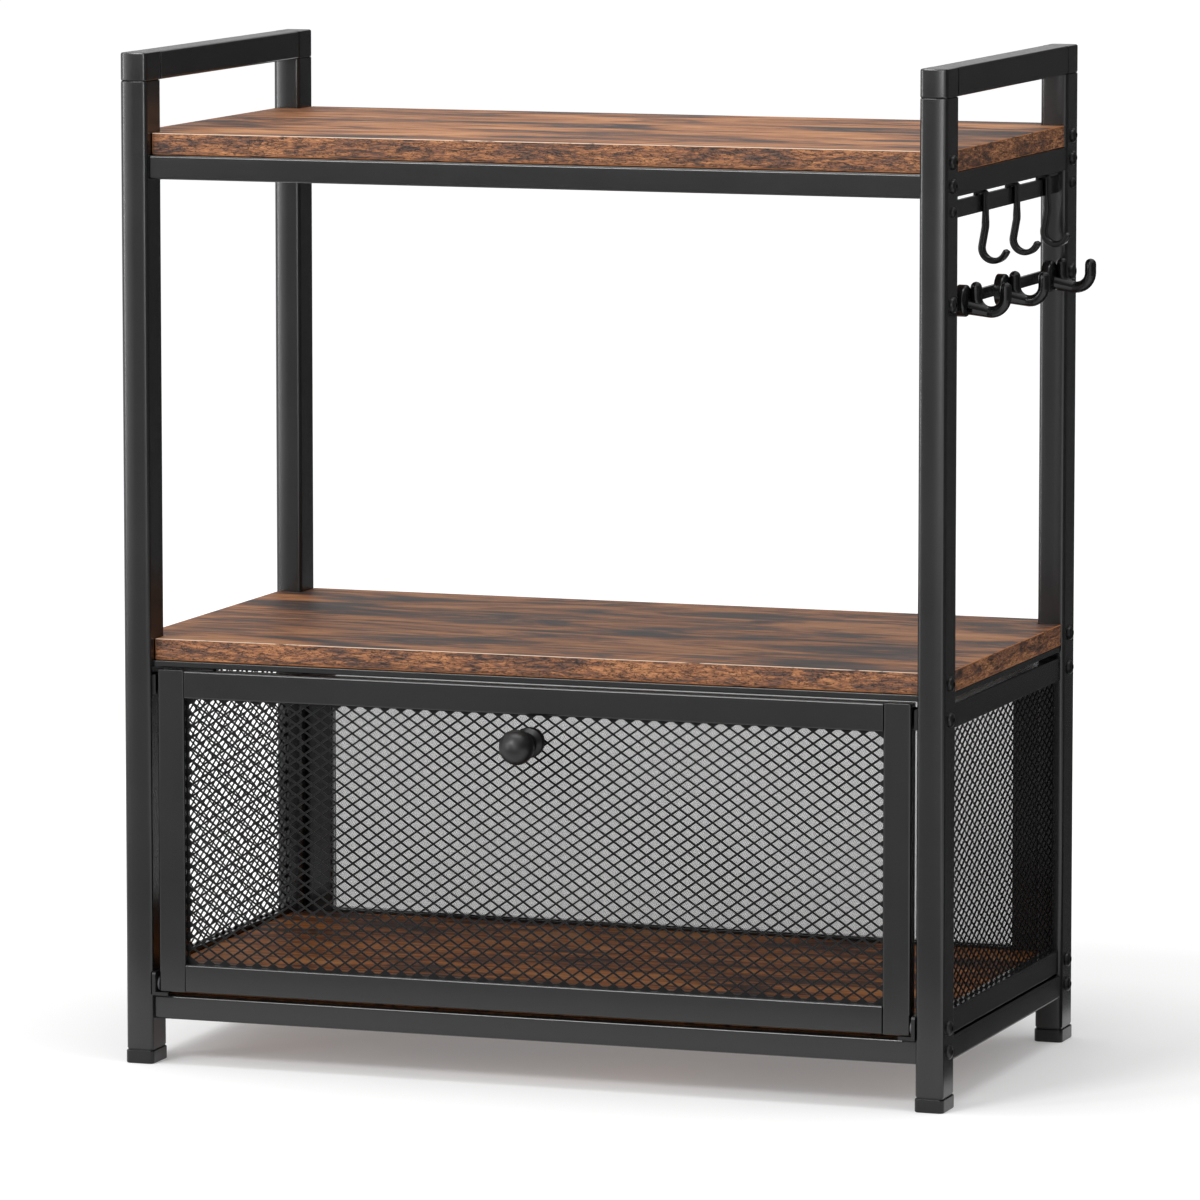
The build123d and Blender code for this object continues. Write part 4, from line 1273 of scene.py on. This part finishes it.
@dataclass(frozen=True)
class JHook:
    """A hook of bent strap that slides on the upper bar."""

    strap: float = 2.8 * MM
    strap_width: float = 9.0 * MM
    strap_corner: float = 0.9 * MM
    saddle_radius: float = 1.9 * MM
    saddle_steps: int = 5
    back_leg: float = 9.0 * MM
    bend_thick: float = 4.0 * MM
    bend_wide: float = 7.0 * MM
    bend_radius: float = 8.8 * MM
    bend_turn: float = 150.0
    bend_steps: int = 26
    swell: float = 7.0 * MM
    swell_steps: int = 4
    straight: float = 3.0 * MM
    lean: float = 10.0
    lean_radius: float = 12.0 * MM
    lean_steps: int = 4
    shank_steps: int = 3
    tip: float = 4.0 * MM
    tip_dome: float = 1.6 * MM

    def build(self, node: str, body: Body) -> None:
        """Models and dresses one hook.

        Args:
            node: The hook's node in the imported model.
            body: The body that it rides on.
        """
        hook = Piece(f"bent_{node}", Slot.POWDER_COAT, (HOOK_GLOSS,), node, body, flat_faces=False)
        self.grow(hook, Box.of_node(node), Box.of_node("hook_bar_upper"))
        hook.done(HOOK_CREASE)

    def grow(self, hook: Piece, box: Box, bar: Box) -> None:
        """Grows one hook from its back leg over the bar, down its shank and round its bend.

        Args:
            hook: The piece to fill.
            box: The hook's box.
            bar: The box of the bar that it hangs on.
        """
        y = box.middle.y
        radius = self.saddle_radius
        gap = bar.low.x - box.low.x - self.strap
        back_x = box.low.x + self.strap / 2
        front_x = bar.high.x + gap + self.strap / 2
        top = box.high.z - self.strap / 2
        swell_top = bar.low.z - gap
        start = Vector((back_x, y, top - self.back_leg))
        rod = Rod(hook, start, UP, BACK, self.strap, self.strap_width, self.strap_corner)
        rod.run(self.back_leg - radius)
        rod.bend(Vector((back_x + radius, y, top - radius)), 90, self.saddle_steps)
        rod.run(front_x - back_x - 2 * radius)
        rod.bend(Vector((front_x - radius, y, top - radius)), 90, self.saddle_steps)
        rod.run(top - radius - swell_top)
        thicker, wider = self.bend_thick / self.strap, self.bend_wide / self.strap_width
        rod.run(self.swell, thicker, wider, self.swell_steps)
        lean = math.radians(self.lean)
        tangent = self.lean_radius * math.tan(lean / 2)
        rod.run(self.straight - tangent)
        rod.bend(rod.place - Vector((self.lean_radius, 0, 0)), self.lean, self.lean_steps)
        centre_z = box.low.z + self.bend_radius + self.bend_thick / 2
        drop = swell_top - self.swell - self.straight - centre_z - self.bend_radius * math.sin(lean)
        rod.run(drop / math.cos(lean) - tangent, steps=self.shank_steps)
        centre = rod.place + self.bend_radius * Vector((math.cos(lean), 0, -math.sin(lean)))
        rod.bend(centre, -self.bend_turn - self.lean, self.bend_steps)
        rod.run(self.tip - self.tip_dome)
        rod.round_end(self.tip_dome)


@dataclass(frozen=True)
class CradleHook:
    """A moulded hook on the lower bar: a round base with an arm that carries a fork."""

    base_thick: float = 6.5 * MM
    base_size: float = 22.0 * MM
    base_corner: float = 10.8 * MM
    base_corner_steps: int = 8
    base_rim: float = 1.8 * MM
    base_rim_steps: int = 4
    fork_drop: float = 1.0 * MM
    fork_offset: float = 9.0 * MM
    fork_steps: int = 20
    spacing: float = 21.0 * MM
    prong: float = 6.0 * MM
    rod: float = 8.0 * MM
    roundness: float = 0.98
    arm_root: float = 5.4 * MM
    arm_inset: float = 2.0 * MM
    arm_offset: float = 3.5 * MM
    arm_rise: float = 7.0 * MM
    arm_steps: int = 5
    arm_play: float = 0.2 * MM

    def build(self, node: str) -> None:
        """Models and dresses one hook.

        Args:
            node: The hook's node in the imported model.
        """
        box = Box.of_node(node)
        hook = Piece(f"moulded_{node}", Slot.PLASTIC, (MOULDED,), node, flat_faces=False)
        base_y = box.low.y + self.base_size / 2
        self.build_fork(hook, box, base_y + self.fork_offset)
        self.build_base(hook, box, base_y, base_y + self.fork_offset)
        hook.done(HOOK_CREASE)

    def round_rod(self, hook: Piece, place: Vector, heading: Vector, across: Vector, radius: float) -> Rod:
        """A nearly round rod that starts at a place."""
        return Rod(hook, place, heading, across, 2 * radius, 2 * radius, radius * self.roundness)

    def build_fork(self, hook: Piece, box: Box, fork_y: float) -> None:
        """Models the fork of two prongs.

        Args:
            hook: The piece to fill.
            box: The cradle hook's box.
            fork_y: The fork's place along the bar.
        """
        radius = self.rod / 2
        inner_x = box.high.x - radius - self.spacing
        centre_z = box.low.z + radius + self.spacing / 2
        start = Vector((inner_x, fork_y, centre_z + self.prong / 2))
        outer = self.round_rod(hook, start, -UP, BACK, radius)
        outer.run(self.prong / 2)
        outer.bend(Vector((inner_x + self.spacing / 2, fork_y, centre_z)), -180, self.fork_steps)
        outer.run(self.prong)
        outer.round_end(radius)
        inner = self.round_rod(hook, start, UP, BACK, radius)
        inner.run(self.prong / 2)
        inner.round_end(radius)

    def build_base(self, hook: Piece, box: Box, base_y: float, fork_y: float) -> None:
        """Models the round base and the arm that carries the fork.

        Args:
            hook: The piece to fill.
            box: The cradle hook's box.
            base_y: The base's place along the bar.
            fork_y: The fork's place along the bar.
        """
        mesh = hook.mesh
        base_low = box.low.z + self.fork_drop
        plate = rounded_face(mesh, self.base_size, self.base_size, self.base_corner, self.base_corner_steps)
        turn = Matrix(((0, 0, 1), (1, 0, 0), (0, 1, 0))).to_4x4()
        middle = Vector((box.low.x, base_y, base_low + self.base_size / 2))
        bmesh.ops.transform(mesh, matrix=Matrix.Translation(middle) @ turn, verts=plate.verts)
        made = bmesh.ops.extrude_face_region(mesh, geom=[plate])["geom"]
        outer = next(part for part in made if isinstance(part, bmesh.types.BMFace))
        bmesh.ops.translate(mesh, vec=(self.base_thick, 0, 0), verts=outer.verts)
        soften(mesh, outer.edges, self.base_rim, self.base_rim_steps)
        radius = self.rod / 2
        low = Vector((box.low.x + self.arm_inset, base_y + self.arm_offset, base_low + self.arm_rise))
        high_x = box.high.x - radius - self.spacing / 2 - self.arm_inset
        run = Vector((high_x, fork_y, box.low.z + radius)) - low
        heading = run.normalized()
        arm = self.round_rod(hook, low, heading, UP.cross(heading).normalized(), self.arm_root)
        share = (radius - self.arm_play) / self.arm_root
        arm.run(run.length, share, share, self.arm_steps)


@dataclass
class HookSide:
    """The two flat bars on the right with their J hooks and cradle hooks."""

    edge: float = 0.5 * MM
    rim: float = 0.3 * MM
    j_hook: JHook = JHook()
    cradle_hook: CradleHook = CradleHook()

    def build(self) -> None:
        """Models and dresses the bars and all hooks."""
        for node in ("hook_bar_upper", "hook_bar_lower"):
            steel_bar(f"flat_{node}", node, Way.Y, self.edge, self.rim, segments=2)
        for body in (Body.HOOK_FRONT, Body.HOOK_MIDDLE, Body.HOOK_REAR):
            self.j_hook.build(f"j_{body.value}", body)
            self.cradle_hook.build(f"cradle_{body.value}")


# The studio


def fresh_tree(owner: bpy.types.Material | bpy.types.World) -> Wiring:
    """Empties the node tree of a new material or world.

    Args:
        owner: The material or world.

    Returns:
        The tree, ready to be filled.
    """
    owner.use_nodes = True
    owner.node_tree.nodes.clear()
    return Wiring(owner.node_tree)


def seen(tree: Wiring) -> bpy.types.NodeSocket:
    """Tells the camera's own view from the light that falls on the stand.

    Args:
        tree: The node tree to use.

    Returns:
        The socket of 1 for the camera, for reflections and for clear things, else 0.
    """
    paths = tree.add("LightPath").outputs
    reflected = tree.math("MAXIMUM", paths["Is Camera Ray"], paths["Is Glossy Ray"])
    return tree.math("MAXIMUM", reflected, paths["Is Transmission Ray"])


def grey(level: float) -> tuple[float, float, float, float]:
    """An even grey."""
    return level, level, level, 1.0


def sheet(name: str, wide: float, high: float, matrix: Matrix) -> Wiring:
    """Makes a plain sheet of the studio, which is not part of the stand.

    Args:
        name: The name of the sheet and of its material.
        wide: Its length along its own X.
        high: Its length along its own Y.
        matrix: Its place.

    Returns:
        The empty node tree of its material.
    """
    mesh = bmesh.new()
    bmesh.ops.create_grid(mesh, x_segments=1, y_segments=1, size=0.5)
    bmesh.ops.scale(mesh, vec=(wide, high, 1), verts=mesh.verts)
    bmesh.ops.transform(mesh, matrix=matrix, verts=mesh.verts)
    data = bpy.data.meshes.new(name)
    mesh.to_mesh(data)
    mesh.free()
    made = bpy.data.objects.new(name, data)
    bpy.context.scene.collection.objects.link(made)
    material = bpy.data.materials.new(name)
    data.materials.append(material)
    return fresh_tree(material)


@dataclass(frozen=True)
class Card:
    """A dark card that only reflections show: its size, middle, turn and tilt in degrees, and grey."""

    name: str
    wide: float
    high: float
    place: Triple
    turn: float
    tilt: float
    level: float

    def build(self) -> None:
        """Sets the card up, from lying flat tilted about X and then turned about Z."""
        turn = Matrix.Rotation(math.radians(self.turn), 4, "Z")
        tilt = Matrix.Rotation(math.radians(self.tilt), 4, "X")
        tree = sheet(self.name, self.wide, self.high, Matrix.Translation(self.place) @ turn @ tilt)
        clear = tree.add("BsdfTransparent").outputs[0]
        matt = tree.add("BsdfDiffuse", {"Color": grey(self.level)}).outputs[0]
        glossy = tree.add("LightPath").outputs["Is Glossy Ray"]
        mix = tree.add("MixShader", {0: glossy, 1: clear, 2: matt})
        tree.add("OutputMaterial", {"Surface": mix.outputs[0]})


@dataclass(frozen=True)
class Lamp:
    """A soft rectangular light: its place, the point that it faces, its size, and its power in watts."""

    name: str
    place: Triple
    aim: Triple
    wide: float
    high: float
    power: float

    def build(self) -> None:
        """Hangs the light."""
        data = bpy.data.lights.new(self.name, "AREA")
        data.shape = "RECTANGLE"
        data.size, data.size_y = self.wide, self.high
        data.energy = self.power
        lamp = bpy.data.objects.new(self.name, data)
        lamp.location = self.place
        lamp.rotation_euler = (Vector(self.aim) - Vector(self.place)).to_track_quat("-Z", "Y").to_euler()
        bpy.context.scene.collection.objects.link(lamp)


@dataclass
class Studio:
    """The pale floor, the soft lights, the white surroundings and the camera."""

    camera_place: Triple = (1.9093, -5.4906, 1.041)
    camera_yaw: float = 19.197
    camera_pitch: float = -7.053
    lens: float = 249.0
    sensor: float = 36.0
    farthest: float = 100.0
    sky: float = 0.58
    floor_width: float = 60.0
    floor_grey: float = 0.8
    glow_starts: float = 0.25
    glow_ends: float = 1.6
    near_glow: float = 0.2
    far_glow: float = 0.56
    cards: tuple[Card, ...] = (
        Card("card_behind", 2.8, 1.9, (1.21, 1.78, 0.95), -27.0, 90.0, 0.08),
        Card("card_high_behind", 3.2, 1.12, (-0.9, 2.8, 1.34), 0.0, 90.0, 0.55),
        Card("card_right", 4.6, 1.9, (1.6, -0.4, 0.95), 90.0, 90.0, 0.15),
        Card("card_front", 1.7, 0.7, (-1.35, -4.3, 0.35), -20.0, 90.0, 0.65),
        Card("card_low_behind", 1.6, 2.4, (1.13, 1.1, 0.002), 0.0, 0.0, 0.08),
        Card("card_low_front", 2.4, 3.6, (-0.75, -2.3, 0.002), 0.0, 0.0, 0.4),
    )
    lamps: tuple[Lamp, ...] = (
        Lamp("key", (-1.2, -3.2, 2.6), (0.0, 0.0, 0.4), 1.2, 0.9, 62.0),
        Lamp("strip_front", (0.15, -4.16, 1.2), (0.2, 0.0, 0.6), 0.3, 2.0, 17.0),
        Lamp("strip_left", (-2.63, -2.76, 1.1), (-0.3, 0.0, 0.5), 0.4, 2.2, 30.0),
        Lamp("top", (0.0, -0.2, 2.6), (0.0, 0.0, 0.6), 2.2, 0.7, 26.0),
    )

    def build(self) -> None:
        """Sets up everything round the stand."""
        self.build_world()
        self.build_floor()
        for thing in self.cards + self.lamps:
            thing.build()
        self.build_camera()

    def build_world(self) -> None:
        """Makes white surroundings that light the stand gently."""
        world = bpy.data.worlds.new("studio")
        bpy.context.scene.world = world
        tree = fresh_tree(world)
        gentle = tree.add("Background", {"Color": grey(1.0), "Strength": self.sky}).outputs[0]
        white = tree.add("Background", {"Color": grey(1.0), "Strength": 1.0}).outputs[0]
        mix = tree.add("MixShader", {0: seen(tree), 1: gentle, 2: white})
        tree.add("OutputWorld", {"Surface": mix.outputs[0]})

    def build_floor(self) -> None:
        """Makes the pale floor, which looks white and keeps the stand's shadow."""
        tree = sheet("floor", self.floor_width, self.floor_width, Matrix.Identity(4))
        place = tree.add("TexCoord").outputs["Object"]
        away = tree.add("VectorMath", {0: place}, operation="LENGTH").outputs["Value"]
        glow = tree.between(away, self.glow_starts, self.glow_ends, self.near_glow, self.far_glow)
        strength = tree.math("MULTIPLY", glow, seen(tree))
        shine = tree.add("Emission", {"Strength": strength}).outputs[0]
        matt = tree.add("BsdfDiffuse", {"Color": grey(self.floor_grey)}).outputs[0]
        both = tree.add("AddShader", {0: matt, 1: shine})
        tree.add("OutputMaterial", {"Surface": both.outputs[0]})

    def build_camera(self) -> None:
        """Puts the camera where the photograph was taken from."""
        data = bpy.data.cameras.new("camera")
        data.sensor_width = self.sensor
        data.lens = self.lens
        data.clip_end = self.farthest
        camera = bpy.data.objects.new("camera", data)
        camera.location = self.camera_place
        camera.rotation_euler = (math.radians(90 + self.camera_pitch), 0.0, math.radians(self.camera_yaw))
        bpy.context.scene.collection.objects.link(camera)
        bpy.context.scene.camera = camera


def main() -> None:
    """Builds the stand's pieces in order, then the studio, and notes the sizes."""
    logging.basicConfig(level=logging.INFO, format="%(name)s %(message)s")
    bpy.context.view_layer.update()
    for part in (SideFrames(), Rails(), Boards(), CabinetWalls(), Door(), Fasteners(), HookSide()):
        log.info("building %s", type(part).__name__)
        part.build()
    Studio().build()
    bpy.context.scene.view_settings.view_transform = "Standard"


if __name__ == "__main__":
    main()
